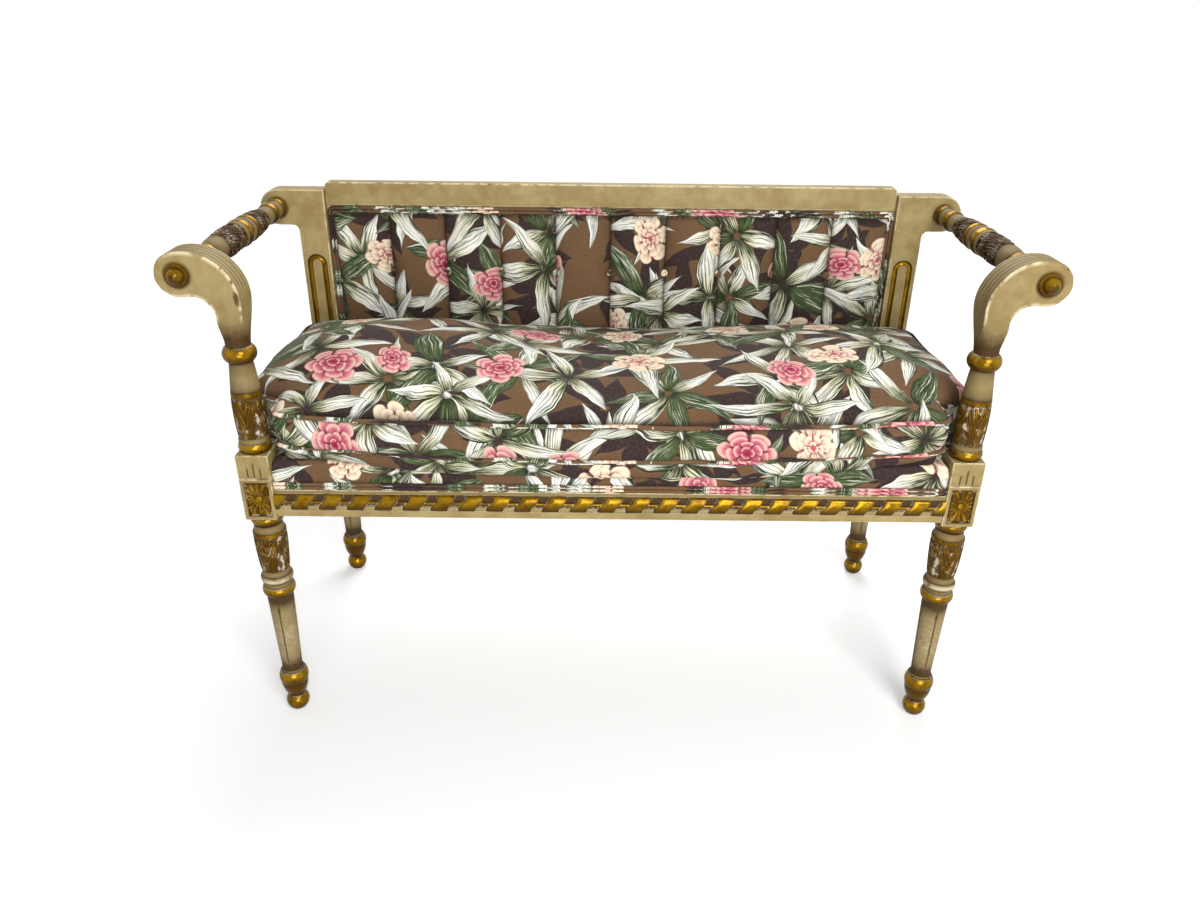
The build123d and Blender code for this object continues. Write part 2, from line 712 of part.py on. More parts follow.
# Seat webbing: straps from front to back tacked on the rails, and straps across laid over them
strap_run = rail_rear_y - rail_front_y - 2 * deck_setback - 2 * cover_thickness
strap_span = 2 * (rail_side_x - deck_setback - cover_thickness)
strap_middle_y = (rail_front_y + rail_rear_y) / 2
clear_run = leg_run - block
with BuildPart() as seat_webs_lengthwise:
    with BuildSketch(Plane.XY.offset(rail_top_z)):
        with Locations((0, strap_middle_y)):
            with GridLocations(2 * rail_inner_x / web_count_across, 0, web_count_across, 1):
                Rectangle(web_width, strap_run)
    extrude(amount=web_thickness)
write(seat_webs_lengthwise.part, "seat_webs_front_to_back")

with BuildPart() as seat_webs_across:
    with BuildSketch(Plane.XY.offset(rail_top_z + web_thickness)):
        with Locations((0, (front_y + rear_y) / 2)):
            with GridLocations(0, clear_run / web_count_along, 1, web_count_along):
                Rectangle(strap_span, web_width)
    extrude(amount=web_thickness)
write(seat_webs_across.part, "seat_webs_across")

front_notch_x = rail_inner_x - deck_clearance
front_notch_y = front_y + block / 2 + deck_clearance
rear_notch_x = min(rail_inner_x, upright_inner_x) - deck_clearance
rear_notch_y = min(rear_y - block / 2, upright_front_y) - deck_clearance


def deck_face(z, inset):
    """The seat's plan with its corners cut out round the posts and the uprights."""
    front = rail_front_y + deck_setback + inset
    rear = rail_rear_y - deck_setback - inset
    side = rail_side_x - deck_setback - inset
    post_side = front_notch_x - inset
    post_back = front_notch_y + inset
    rear_side = rear_notch_x - inset
    rear_face = rear_notch_y - inset
    with BuildSketch(Plane.XY.offset(z)) as plan:
        with BuildLine():
            Polyline(
                (0, front),
                (post_side, front),
                (post_side, post_back),
                (side, post_back),
                (side, rear_face),
                (rear_side, rear_face),
                (rear_side, rear),
                (0, rear),
            )
            mirror(about=Plane.YZ)
        make_face()
    return plan.sketch


hessian_z = rail_top_z + 2 * web_thickness
pad_foot_z = hessian_z + hessian_thickness
with BuildPart() as seat_hessian:
    extrude(deck_face(hessian_z, cover_thickness), amount=hessian_thickness)
write(seat_hessian.part, "seat_hessian")

with BuildPart() as seat_stuffing:
    extrude(deck_face(pad_foot_z, cover_thickness), amount=deck_top_z - cover_thickness - pad_foot_z)
    fillet(seat_stuffing.edges().group_by(Axis.Z)[-1], radius=deck_round - cover_thickness)
write(seat_stuffing.part, "seat_stuffing")

with BuildPart() as seat_cover:
    extrude(deck_face(rail_top_z, 0), amount=deck_top_z - rail_top_z)
    fillet(seat_cover.edges().group_by(Axis.Z)[-1], radius=deck_round)
    extrude(deck_face(rail_top_z, cover_thickness), amount=pad_foot_z - rail_top_z, mode=Mode.SUBTRACT)
    add(seat_stuffing.part, mode=Mode.SUBTRACT)
write(seat_cover.part, "seat_cover")

# Double welt along the foot of the seat cover, in straight runs between the posts and uprights
welt_pitch = 2 * welt_radius + welt_gap
welt_low_z = rail_top_z + welt_radius


def welt_run(start, along, length):
    """A straight run of two cords, one above the other, that starts at the lower cord's end."""
    with BuildPart(mode=Mode.PRIVATE) as run:
        with BuildSketch(Plane(start, x_dir=UP, z_dir=along)):
            Circle(welt_radius)
            with Locations((welt_pitch, 0)):
                Circle(welt_radius)
        extrude(amount=length)
    return run.part


deck_front_y = rail_front_y + deck_setback - welt_radius - welt_gap
deck_rear_y = rail_rear_y - deck_setback + welt_radius + welt_gap
deck_side_x = rail_side_x - deck_setback + welt_radius + welt_gap
with BuildPart() as seat_welt:
    add(welt_run((-front_notch_x, deck_front_y, welt_low_z), ACROSS, 2 * front_notch_x))
    add(welt_run((-rear_notch_x, deck_rear_y, welt_low_z), ACROSS, 2 * rear_notch_x))
    for side in (-1, 1):
        add(welt_run((side * deck_side_x, front_notch_y, welt_low_z), BACKWARD, rear_notch_y - front_notch_y))
write(seat_welt.part, "seat_welt")

# Upholstered back: a board against the tongues, a channelled pad on it and a row of buttons
button_xs = [channel_pitch * (index - channel_count / 2) for index in range(1, channel_count)]
pleat_y = pad_front_y + pleat_depth
board_middle_y = (board_front_y + tongue_front_y) / 2
with BuildPart() as back_board:
    with Locations((0, board_middle_y, board_low_z)):
        Box(2 * board_half, board_thickness, board_high_z - board_low_z, align=BOTTOM)
write(back_board.part, "back_board")

pad_edge_y = board_front_y - pad_round
with BuildPart() as back_pad:
    with BuildSketch(Plane.XY.offset(pad_low_z)):
        with BuildLine():
            for index in range(channel_count):
                left = channel_pitch * (index - channel_count / 2)
                left_y = pad_edge_y if index == 0 else pleat_y
                right_y = pad_edge_y if index == channel_count - 1 else pleat_y
                middle = left + channel_pitch / 2
                ThreePointArc((left, left_y), (middle, pad_front_y), (left + channel_pitch, right_y))
            Polyline(
                (pad_half, pad_edge_y),
                (pad_half, board_front_y),
                (-pad_half, board_front_y),
                (-pad_half, pad_edge_y),
            )
        make_face()
    extrude(amount=pad_high_z - pad_low_z)
    with BuildSketch(Plane((-pad_half, board_front_y, pad_low_z), x_dir=BACKWARD, z_dir=ACROSS)):
        with BuildLine():
            pad_tall = pad_high_z - pad_low_z
            FilletPolyline(
                (0, 0),
                (-pad_depth, 0),
                (-pad_depth, pad_tall),
                (0, pad_tall),
                radius=pad_round,
            )
            Line((0, pad_tall), (0, 0))
        make_face()
    extrude(amount=2 * pad_half, mode=Mode.INTERSECT)
    for x in button_xs:
        with Locations(Plane((x, pad_front_y, button_z), z_dir=BACKWARD)):
            tuft_cut = pleat_depth + tuft_depth
            Cone(tuft_radius, button_radius + welt_gap, tuft_cut, align=BOTTOM, mode=Mode.SUBTRACT)
write(back_pad.part, "back_pad")

button_profile = (Turning(button_height, button_radius, button_radius * 0.4, 1.2),)
with BuildPart() as back_buttons:
    for x in button_xs:
        root = (x, pleat_y + tuft_depth - welt_gap, button_z)
        revolve(turned_face(root, FORWARD, button_profile), axis=Axis(root, FORWARD))
write(back_buttons.part, "back_buttons")

with BuildPart() as back_welt:
    for index in range(2):
        out = pad_half + welt_gap + welt_radius + index * welt_pitch
        high = pad_high_z + welt_gap + welt_radius + index * welt_pitch
        with BuildLine(place((0, board_front_y - welt_radius - welt_gap, 0), UP)) as route:
            corner = welt_radius + 2 * welt_gap + index * welt_pitch
            FilletPolyline((-out, pad_low_z), (-out, high), (out, high), (out, pad_low_z), radius=corner)
        with BuildSketch(Plane(route.line @ 0, z_dir=UP)):
            Circle(welt_radius)
        sweep(path=route.line)
write(back_welt.part, "back_welt")

with BuildPart() as outside_back:
    with Locations((0, tongue_rear_y + outside_thickness / 2, board_low_z)):
        Box(2 * board_half, outside_thickness, board_high_z - board_low_z, align=BOTTOM)
write(outside_back.part, "outside_back")

# Loose cushion: a tongue between the posts, wider shoulders under the open arms, a crowned top
cushion_foot_z = deck_top_z + cushion_rest_gap
cushion_seam_z = cushion_foot_z + cushion_underside
cushion_top_seam_z = cushion_seam_z + cushion_boxing
cushion_front_y = front_y - cushion_front
cushion_rear_y = pad_front_y - cushion_back_gap
tongue_half = rail_inner_x - cushion_tongue_gap
shoulder_y = front_y + block / 2 + cushion_shoulder_gap
cushion_half = eye_x - spindle_ring.start - spindle_ring.swell - cushion_side_gap


def cushion_line(grow):
    """Half the cushion's plan, grown outward, from the middle of the front to the middle of the back."""
    return FilletPolyline(
        (0, cushion_front_y - grow),
        (tongue_half + grow, cushion_front_y - grow),
        (tongue_half + grow, shoulder_y - grow),
        (cushion_half + grow, shoulder_y + cushion_shoulder_slope - grow),
        (cushion_half + grow, cushion_rear_y + grow),
        (0, cushion_rear_y + grow),
        radius=(
            cushion_front_corner + grow,
            cushion_shoulder_corner,
            cushion_side_corner + grow,
            cushion_rear_corner + grow,
        ),
    )


def cushion_face(z, grow):
    """The cushion's plan at a height, grown outward."""
    with BuildSketch(Plane.XY.offset(z)) as plan:
        with BuildLine():
            cushion_line(grow)
            mirror(about=Plane.YZ)
        make_face()
    return plan.sketch


def crown_section(share, rise):
    """The cushion's crown seen from the side, at a share of its half width."""
    rear_rise = rise * 0.35
    with BuildSketch(Plane((share * cushion_half, 0, cushion_seam_z), x_dir=BACKWARD, z_dir=ACROSS)) as section:
        with BuildLine():
            front = cushion_front_y - cushion_boxing_bulge
            rear = cushion_rear_y + cushion_boxing_bulge
            middle = (front + rear) / 2
            ThreePointArc(
                (front, cushion_boxing), (middle, cushion_boxing + rise), (rear, cushion_boxing + rear_rise)
            )
            Polyline((rear, cushion_boxing + rear_rise), (rear, 0), (front, 0), (front, cushion_boxing))
        make_face()
    return section.sketch


crown_shares = (0, crown_shoulder_share, crown_side_share, 1.05)
crown_rises = (crown_middle, crown_shoulder, crown_side, 4.0)
crown_stations = list(zip(crown_shares, crown_rises))
left_stations = [(-share, rise) for share, rise in reversed(crown_stations[1:])]
with BuildPart() as seat_cushion:
    extrude(cushion_face(cushion_seam_z, 0), amount=cushion_boxing + crown_shoulder)
    loft([crown_section(*station) for station in left_stations + crown_stations], mode=Mode.INTERSECT)
    loft(
        [
            cushion_face(cushion_seam_z, 0),
            cushion_face(cushion_seam_z + cushion_boxing / 2, cushion_boxing_bulge),
            cushion_face(cushion_top_seam_z, 0),
        ]
    )
    loft([cushion_face(cushion_foot_z, -cushion_underside_inset), cushion_face(cushion_seam_z, 0)])
write(seat_cushion.part, "seat_cushion")


def piping(z):
    """The corded seam round the cushion at a height."""
    with BuildPart(mode=Mode.PRIVATE) as cord:
        with BuildLine(Plane.XY.offset(z)) as route:
            cushion_line(piping_radius + piping_gap)
            mirror(about=Plane.YZ)
        with BuildSketch(Plane((0, cushion_front_y - piping_radius - piping_gap, z), z_dir=ACROSS)):
            Circle(piping_radius)
        sweep(path=route.wires()[0])
    return cord.part


write(piping(cushion_top_seam_z), "cushion_piping_top")
write(piping(cushion_seam_z), "cushion_piping_bottom")
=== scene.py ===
"""Looks of the settee: painted and gilded wood, carving, printed upholstery and the loose cushion."""
import math
from typing import NamedTuple

import bmesh
import bpy
import numpy as np
from bpy.props import FloatProperty, FloatVectorProperty, IntProperty, PointerProperty
from mathutils import Matrix, Vector


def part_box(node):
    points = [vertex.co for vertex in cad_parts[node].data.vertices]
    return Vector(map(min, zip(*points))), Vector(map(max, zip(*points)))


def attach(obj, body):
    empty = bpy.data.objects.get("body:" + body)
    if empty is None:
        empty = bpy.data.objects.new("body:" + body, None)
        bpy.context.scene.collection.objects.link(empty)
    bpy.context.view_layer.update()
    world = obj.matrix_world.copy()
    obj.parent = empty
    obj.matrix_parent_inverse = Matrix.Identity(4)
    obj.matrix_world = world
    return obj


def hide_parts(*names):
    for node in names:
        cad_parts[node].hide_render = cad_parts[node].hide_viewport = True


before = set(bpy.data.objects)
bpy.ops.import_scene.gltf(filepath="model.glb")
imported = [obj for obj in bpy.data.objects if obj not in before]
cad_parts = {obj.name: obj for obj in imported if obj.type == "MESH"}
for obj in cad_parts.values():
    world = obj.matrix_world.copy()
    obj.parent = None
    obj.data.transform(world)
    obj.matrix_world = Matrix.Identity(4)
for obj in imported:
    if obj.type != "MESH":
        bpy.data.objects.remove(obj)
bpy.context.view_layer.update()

bl_info = {
    "name": "Open-arm settee",
    "version": (1, 0, 0),
    "blender": (4, 5, 0),
    "location": "3D View > Sidebar > Settee",
    "description": "Builds the finished pieces of a painted open-arm settee round its frame",
    "category": "Object",
}

# Lengths in this file are millimetres; meshes are written in metres
MM = 0.001
FRAME_BODY = "frame"
CUSHION_BODY = "cushion"
SIDES = (("left", -1), ("right", 1))


def node_box(node):
    """Lowest and highest corner of a node of the frame, in millimetres."""
    low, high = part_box(node)
    return np.array(low) / MM, np.array(high) / MM


# Places read from the frame, on the right-hand side
LEG_LOW, LEG_HIGH = node_box("front_leg_right")
REAR_LEG_LOW, REAR_LEG_HIGH = node_box("back_leg_right")
POST_HIGH = node_box("arm_post_right")[1]
BOSS_LOW, BOSS_HIGH = node_box("scroll_boss_right")
SCROLL_LOW, SCROLL_HIGH = node_box("arm_scroll_right")
UPRIGHT_LOW, UPRIGHT_HIGH = node_box("back_upright_right")
CREST_LOW, CREST_HIGH = node_box("crest_rail")
LOWER_RAIL_LOW, LOWER_RAIL_HIGH = node_box("back_lower_rail")
FRONT_RAIL_LOW, FRONT_RAIL_HIGH = node_box("front_rail")
MOULDING_LOW, MOULDING_HIGH = node_box("ribbon_moulding")
COVER_LOW, COVER_HIGH = node_box("seat_cover")
PAD_LOW, PAD_HIGH = node_box("back_pad")
BUTTONS_LOW, BUTTONS_HIGH = node_box("back_buttons")
CUSHION_LOW = node_box("seat_cushion")[0]
OUTSIDE_LOW, OUTSIDE_HIGH = node_box("outside_back")

LEG_X = (LEG_LOW[0] + LEG_HIGH[0]) / 2
FRONT_Y = (LEG_LOW[1] + LEG_HIGH[1]) / 2
REAR_Y = (REAR_LEG_LOW[1] + REAR_LEG_HIGH[1]) / 2
JOINT_Z = LEG_HIGH[2]
EYE_X = (BOSS_LOW[0] + BOSS_HIGH[0]) / 2
EYE_Z = (BOSS_LOW[2] + BOSS_HIGH[2]) / 2

# Stock and joinery sizes shared with the frame
BLOCK = 45.5
LEG_BLOCK_HEIGHT = 66.0
POST_BLOCK_HEIGHT = 37.0
POST_TENON = 30.0
LEG_HEIGHT = JOINT_Z - LEG_BLOCK_HEIGHT
BLOCK_TOP_Z = JOINT_Z + POST_BLOCK_HEIGHT
POST_HEAD_Z = POST_HIGH[2] - POST_TENON
RAIL_INNER_X = LEG_X - BLOCK / 2
SOFT_ARRIS = 1.6
# Half of the fine line that shows where a post stands on its leg
JOINT_LINE = 0.3


class Member(NamedTuple):
    """One turned member: length, end radii, swell between and the finishes of its lower and upper part."""

    length: float
    start: float
    end: float
    swell: float
    finish: str
    upper: str = ""
    upper_from: float = 1.0


LEG_TURNING_BELOW = (
    Member(28.0, 10.0, 12.0, 6.8, "gold"),
    Member(27.0, 12.0, 20.4, 2.2, "dull_gold"),
    Member(23.0, 19.8, 18.2, 3.4, "gold"),
    Member(4.0, 16.6, 16.0, 0.0, "cream_up"),
)
LEG_TURNING_ABOVE = (
    Member(17.0, 20.7, 20.7, 3.6, "gold", "cream_up", 0.88),
    Member(7.0, 21.4, 21.4, -1.0, "cream_up"),
    Member(12.0, 21.4, 21.4, 2.3, "cream_up"),
    Member(9.5, 21.4, 20.0, -0.8, "cream_up"),
    Member(66.0, 20.0, 23.4, 0.8, "carved"),
    Member(12.0, 22.4, 20.2, -0.4, "cream_up"),
    Member(14.5, 18.6, 21.4, 3.3, "gold"),
)
SHAFT_FOOT_RADIUS = 15.2
SHAFT_HEAD_RADIUS = 19.5
SHAFT_LENGTH = LEG_HEIGHT - sum(member.length for member in LEG_TURNING_BELOW + LEG_TURNING_ABOVE)
LEG_SHAFT = Member(SHAFT_LENGTH, SHAFT_FOOT_RADIUS, SHAFT_HEAD_RADIUS, 0.0, "cream_up")
LEG_TURNING = (*LEG_TURNING_BELOW, LEG_SHAFT, *LEG_TURNING_ABOVE)
POST_TURNING = (
    Member(15.0, 20.0, 20.0, 2.8, "gold"),
    Member(8.0, 20.4, 19.4, 0.8, "cream_up"),
    Member(68.0, 19.2, 20.0, 1.3, "carved"),
    Member(42.0, 20.0, 15.7, 0.0, "cream_up"),
    Member(22.0, 17.0, 17.0, 5.8, "gold"),
)
SPINDLE_FRONT = Member(14.0, 15.5, 15.5, 2.5, "gold")
SPINDLE_REAR = (
    Member(14.0, 14.2, 14.2, 2.6, "gold"),
    Member(33.0, 14.0, 18.2, 1.3, "cream_deep"),
    Member(67.0, 18.2, 19.2, 1.8, "carved_dark"),
    Member(12.0, 20.0, 20.0, 0.0, "cream_deep"),
    Member(22.0, 18.8, 18.8, 2.7, "gold"),
    Member(12.0, 19.8, 19.8, -1.0, "cream_deep"),
    Member(12.0, 18.9, 18.9, 2.2, "gold"),
    Member(53.0, 19.4, 16.6, 1.2, "carved_dark"),
    Member(37.0, 16.2, 14.6, -0.4, "cream_deep"),
    Member(20.0, 15.0, 15.0, 2.6, "gold"),
    Member(20.0, 14.8, 14.8, -0.8, "cream_deep"),
    Member(18.0, 14.8, 14.8, 2.4, "gold"),
)
SPINDLE_LENGTH = UPRIGHT_LOW[1] - SCROLL_HIGH[1]
SPINDLE_PLAIN = SPINDLE_LENGTH - SPINDLE_FRONT.length - sum(member.length for member in SPINDLE_REAR)
SPINDLE_TURNING = (SPINDLE_FRONT, Member(SPINDLE_PLAIN, 14.5, 14.5, 0.8, "cream_deep"), *SPINDLE_REAR)
BOSS_TURNING = (
    Member(4.5, 15.5, 14.0, 0.6, "gold"),
    Member(11.5, 10.8, 3.0, 2.6, "gold"),
)


def colour(name, description, default):
    """A colour that a user can set."""
    return FloatVectorProperty(
        name=name, description=description, subtype="COLOR", default=default, min=0, max=1
    )


def millimetres(name, description, default, low, high):
    """A length in millimetres that a user can set."""
    return FloatProperty(
        name=name, description=f"{description}, in millimetres", default=default, min=low, max=high
    )


class SetteeFinishes(bpy.types.PropertyGroup):
    """Colours of the paint, the gilding and the bare stuff under the seat"""

    cream: colour("Cream", "Aged cream paint where it is rubbed clean", (0.415, 0.325, 0.145))
    cream_shade: colour("Cream shade", "Paint under old varnish", (0.285, 0.20, 0.075))
    rubbed: colour("Rubbed edge", "Paint rubbed pale along the edges", (0.86, 0.75, 0.47))
    # The glaze colour also serves as painted shade, on the gilding's downward faces and in the moulding
    glaze: colour("Glaze", "Brown glaze left in hollows", (0.060, 0.030, 0.008))
    residue: colour("Residue", "Chalky gesso that shows in the carving", (0.66, 0.59, 0.47))
    # Gold and amber are mixed partly by how far a face looks up, which paints a highlight on upward faces
    gold: colour("Gold", "Antique gilding where it is bright", (0.37, 0.205, 0.006))
    amber: colour("Amber", "Gilding under old lacquer", (0.095, 0.045, 0.002))
    jute: colour("Jute", "Webbing and hessian", (0.40, 0.29, 0.15))
    beech: colour("Beech", "Bare wood of braces and dowels", (0.46, 0.29, 0.15))


class SetteePrint(bpy.types.PropertyGroup):
    """Colours and scale of the printed cloth"""

    ground: colour("Ground", "Brown of the cloth", (0.155, 0.085, 0.041))
    shadow: colour("Shadow leaves", "Dark leaves behind the others", (0.037, 0.022, 0.022))
    pale: colour("Pale leaf", "Body of the pale leaves", (0.93, 0.92, 0.83))
    green: colour("Leaf green", "Veins and shaded leaves", (0.085, 0.125, 0.045))
    dark: colour("Leaf dark", "Outlines and hearts of the leaf sprays", (0.010, 0.015, 0.008))
    pink: colour("Pink", "Body of the pink blossoms", (0.66, 0.175, 0.24))
    crimson: colour("Crimson", "Hearts and streaks of the blossoms", (0.30, 0.014, 0.055))
    blush: colour("Blush", "Petal rims and the pale blossoms", (0.90, 0.78, 0.56))
    motif: FloatProperty(
        name="Motif", description="Reach of one spray of leaves", default=0.125, min=0.02, max=0.3,
        subtype="DISTANCE", unit="LENGTH",
    )


class SetteeSizes(bpy.types.PropertyGroup):
    """Sizes of the soft pieces that a user would change"""

    crown: millimetres("Cushion crown", "Rise of the cushion over its piping in the middle", 33.0, 10, 100)
    hump: millimetres("Cushion humps", "Rise of the cushion where the filling has moved to", 72.0, 10, 100)
    puff: millimetres("Channel puff", "Swell of the back between its pleats", 8.0, 1, 20)
    cord: millimetres("Piping radius", "Radius of the cushion's piping", 3.3, 1, 8)
    channels: IntProperty(
        name="Channels", description="Channels across the back", default=10, min=2, max=24
    )


class Signal:
    """A shader socket that takes part in arithmetic: each operation adds its Math node."""

    def __init__(self, graph, socket):
        self.graph = graph
        self.socket = socket

    def math(self, operation, *others):
        values = dict(enumerate((self, *others)))
        return self.graph.node("ShaderNodeMath", {"operation": operation}, values)

    def __add__(self, other):
        return self.math("ADD", other)

    __radd__ = __add__

    def __sub__(self, other):
        return self.math("SUBTRACT", other)

    def __rsub__(self, other):
        return self.graph.node("ShaderNodeMath", {"operation": "SUBTRACT"}, {0: other, 1: self})

    def __mul__(self, other):
        return self.math("MULTIPLY", other)

    __rmul__ = __mul__

    def __truediv__(self, other):
        return self.math("DIVIDE", other)

    def __pow__(self, other):
        return self.math("POWER", other)

    def __gt__(self, other):
        return self.math("GREATER_THAN", other)

    def __lt__(self, other):
        return self.math("LESS_THAN", other)

    def __abs__(self):
        return self.math("ABSOLUTE")

    def clamp(self):
        return self.graph.node("ShaderNodeClamp", {}, {"Value": self})

    def step(self, start, end):
        """Smooth 0 to 1 as the value goes from start to end."""
        rising = start < end
        low, high = (start, end) if rising else (end, start)
        values = {"Value": self, 1: low, 2: high, 3: 0.0 if rising else 1.0, 4: 1.0 if rising else 0.0}
        return self.graph.node("ShaderNodeMapRange", {"interpolation_type": "SMOOTHSTEP"}, values)


class Graph:
    """The nodes of a material or a world, all made by one method."""

    def __init__(self, holder):
        holder.use_nodes = True
        self.holder = holder
        self.tree = holder.node_tree

    def feed(self, socket, value):
        if isinstance(value, Signal):
            self.tree.links.new(value.socket, socket)
        elif isinstance(value, (tuple, list)) or hasattr(value, "__len__"):
            parts = tuple(value)
            short_colour = socket.type == "RGBA" and len(parts) == 3
            socket.default_value = (*parts, 1.0) if short_colour else parts
        else:
            socket.default_value = value

    def node(self, kind, settings=None, sockets=None, output=0):
        """Adds a node with its settings, then its socket values or links, and returns one output."""
        made = self.tree.nodes.new(kind)
        for name, value in (settings or {}).items():
            setattr(made, name, value)
        for key, value in (sockets or {}).items():
            self.feed(made.inputs[key], value)
        return Signal(self, made.outputs[output])

    def other(self, signal, output):
        """Another output of the node that a signal comes from."""
        return Signal(self, signal.socket.node.outputs[output])

    def mix(self, factor, first, second):
        return self.node("ShaderNodeMix", {"data_type": "RGBA"}, {0: factor, 6: first, 7: second}, 2)

    def vector(self, operation, first, second):
        return self.node("ShaderNodeVectorMath", {"operation": operation}, {0: first, 1: second})

    def split(self, signal):
        x = self.node("ShaderNodeSeparateXYZ", {}, {0: signal})
        return x, self.other(x, 1), self.other(x, 2)

    def join(self, x, y, z=0.0):
        return self.node("ShaderNodeCombineXYZ", {}, {0: x, 1: y, 2: z})

    def noise(self, vector, scale, detail=2.0, roughness=0.5):
        values = {"Vector": vector, "Scale": scale, "Detail": detail, "Roughness": roughness}
        return self.node("ShaderNodeTexNoise", {"noise_dimensions": "3D"}, values)

    def place(self):
        return self.node("ShaderNodeTexCoord", {}, {}, "Object")

    def print_place(self):
        return self.node("ShaderNodeTexCoord", {}, {}, "UV")

    def wear_and_shade(self, name):
        """A wear value stored on the mesh's points; the glaze among them also holds painted shade."""
        return self.node("ShaderNodeAttribute", {"attribute_name": name}, {}, "Fac")

    def facing_up(self):
        """How far the surface faces upward, from -1 to 1."""
        return self.split(self.node("ShaderNodeNewGeometry", {}, {}, "Normal"))[2]

    def bump(self, height, strength, distance):
        values = {"Height": height, "Strength": strength, "Distance": distance}
        return self.node("ShaderNodeBump", {}, values)

    def seen(self):
        """1 for what the camera sees, also in or through another surface, and 0 for light on its way."""
        camera = self.node("ShaderNodeLightPath", {}, {}, "Is Camera Ray")
        mirrored = camera.math("MAXIMUM", self.other(camera, "Is Glossy Ray"))
        return mirrored.math("MAXIMUM", self.other(camera, "Is Transmission Ray"))

    def finish(self, gloss=0.5, **values):
        """Sets a material's surface and returns the material."""
        surface = self.tree.nodes["Principled BSDF"].inputs
        surface["Specular IOR Level"].default_value = gloss
        for name, value in values.items():
            self.feed(surface[name.replace("_", " ")], value)
        return self.holder


def new_finish(name):
    """The graph of a new material, the colours of the settee's finishes and the place on the settee."""
    graph = Graph(bpy.data.materials.new(name))
    return graph, bpy.context.scene.settee_finishes, graph.place()


# Wear and carving stored on the points of a mesh; the glaze among them also carries painted shade
WEAR = ("glaze", "edge", "chip", "chalk", "leaf", "relief")
GRAIN_STRETCH = {"up": (420.0, 420.0, 14.0), "across": (14.0, 420.0, 420.0), "deep": (420.0, 14.0, 420.0)}
# Ring darkened round each boss and spindle end, in metres from its axis
HALO_OUTER = 0.0205
HALO_INNER = 0.0158
HALO_STRENGTH = 0.75
CREAM_GLOSS = 0.18
GOLD_GLOSS = 0.08
CARVED_GLOSS = 0.06
CLOTH_GLOSS = 0.06
CLOTH_SHEEN = 0.04
# Colours of the carving: its ground on legs and posts, and the crests and ground of the dark spindles
LEAF_GROUND = (0.11, 0.062, 0.024)
SPINDLE_CREST = (0.070, 0.036, 0.010)
SPINDLE_GROUND = (0.036, 0.018, 0.007)
# Straw at the roots of the printed leaves, and the shade in seams and pleats
LEAF_STRAW = (0.72, 0.66, 0.38)
SEAM_SHADE = (0.018, 0.011, 0.008)


def cream_paint(name, along, halo=False):
    """Old cream paint: brushed along the grain, glazed and darkened with painted shade in the hollows,
    rubbed and chipped on the edges.
    """
    graph, colours, place = new_finish(name)
    brushed = graph.noise(graph.vector("MULTIPLY", place, GRAIN_STRETCH[along]), 1.0, 4.0, 0.65)
    cloud = graph.noise(place, 16.0, 3.0, 0.6)
    blotch = graph.noise(place, 55.0, 3.0, 0.55)
    paint = graph.mix((cloud * 0.7 + blotch * 0.5).step(0.40, 0.80), colours.cream_shade, colours.cream)
    paint = graph.mix(brushed.step(0.42, 0.75) * 0.45, paint, colours.cream_shade)
    fleck = graph.noise(place, 900.0, 1.0).step(0.70, 0.76) * blotch.step(0.45, 0.60)
    paint = graph.mix(fleck * 0.6, paint, colours.glaze)
    glaze = graph.wear_and_shade("glaze")
    if halo:
        x, y, z = graph.split(place)
        reach = ((abs(x) - EYE_X * MM) ** 2 + (z - EYE_Z * MM) ** 2) ** 0.5
        in_front = y < (UPRIGHT_HIGH[1] - 2.0) * MM
        glaze = glaze + reach.step(HALO_OUTER, HALO_INNER) * HALO_STRENGTH * in_front
    # Glaze in the hollows, and the painted shade that the mesh stores with it
    hollow = (glaze * (0.55 + 0.9 * blotch)).clamp()
    paint = graph.mix(hollow, paint, colours.glaze)
    chalk = graph.wear_and_shade("chalk") * graph.noise(place, 260.0, 3.0).step(0.42, 0.58)
    paint = graph.mix(chalk * 0.8, paint, colours.residue)
    edge = graph.wear_and_shade("edge")
    rubbed = edge * graph.noise(place, 70.0, 2.0).step(0.34, 0.56)
    paint = graph.mix(rubbed * 0.75, paint, colours.rubbed)
    broken = (edge * graph.noise(place, 130.0, 4.0, 0.7).step(0.60, 0.66) + graph.wear_and_shade("chip")).clamp()
    paint = graph.mix(broken * 0.85, paint, colours.glaze)
    height = brushed * 0.35 - broken * 0.8 + blotch * 0.3
    return graph.finish(
        CREAM_GLOSS,
        Base_Color=paint,
        Roughness=0.36 + 0.22 * cloud + 0.15 * hollow,
        Normal=graph.bump(height, 0.22, 0.0006),
    )


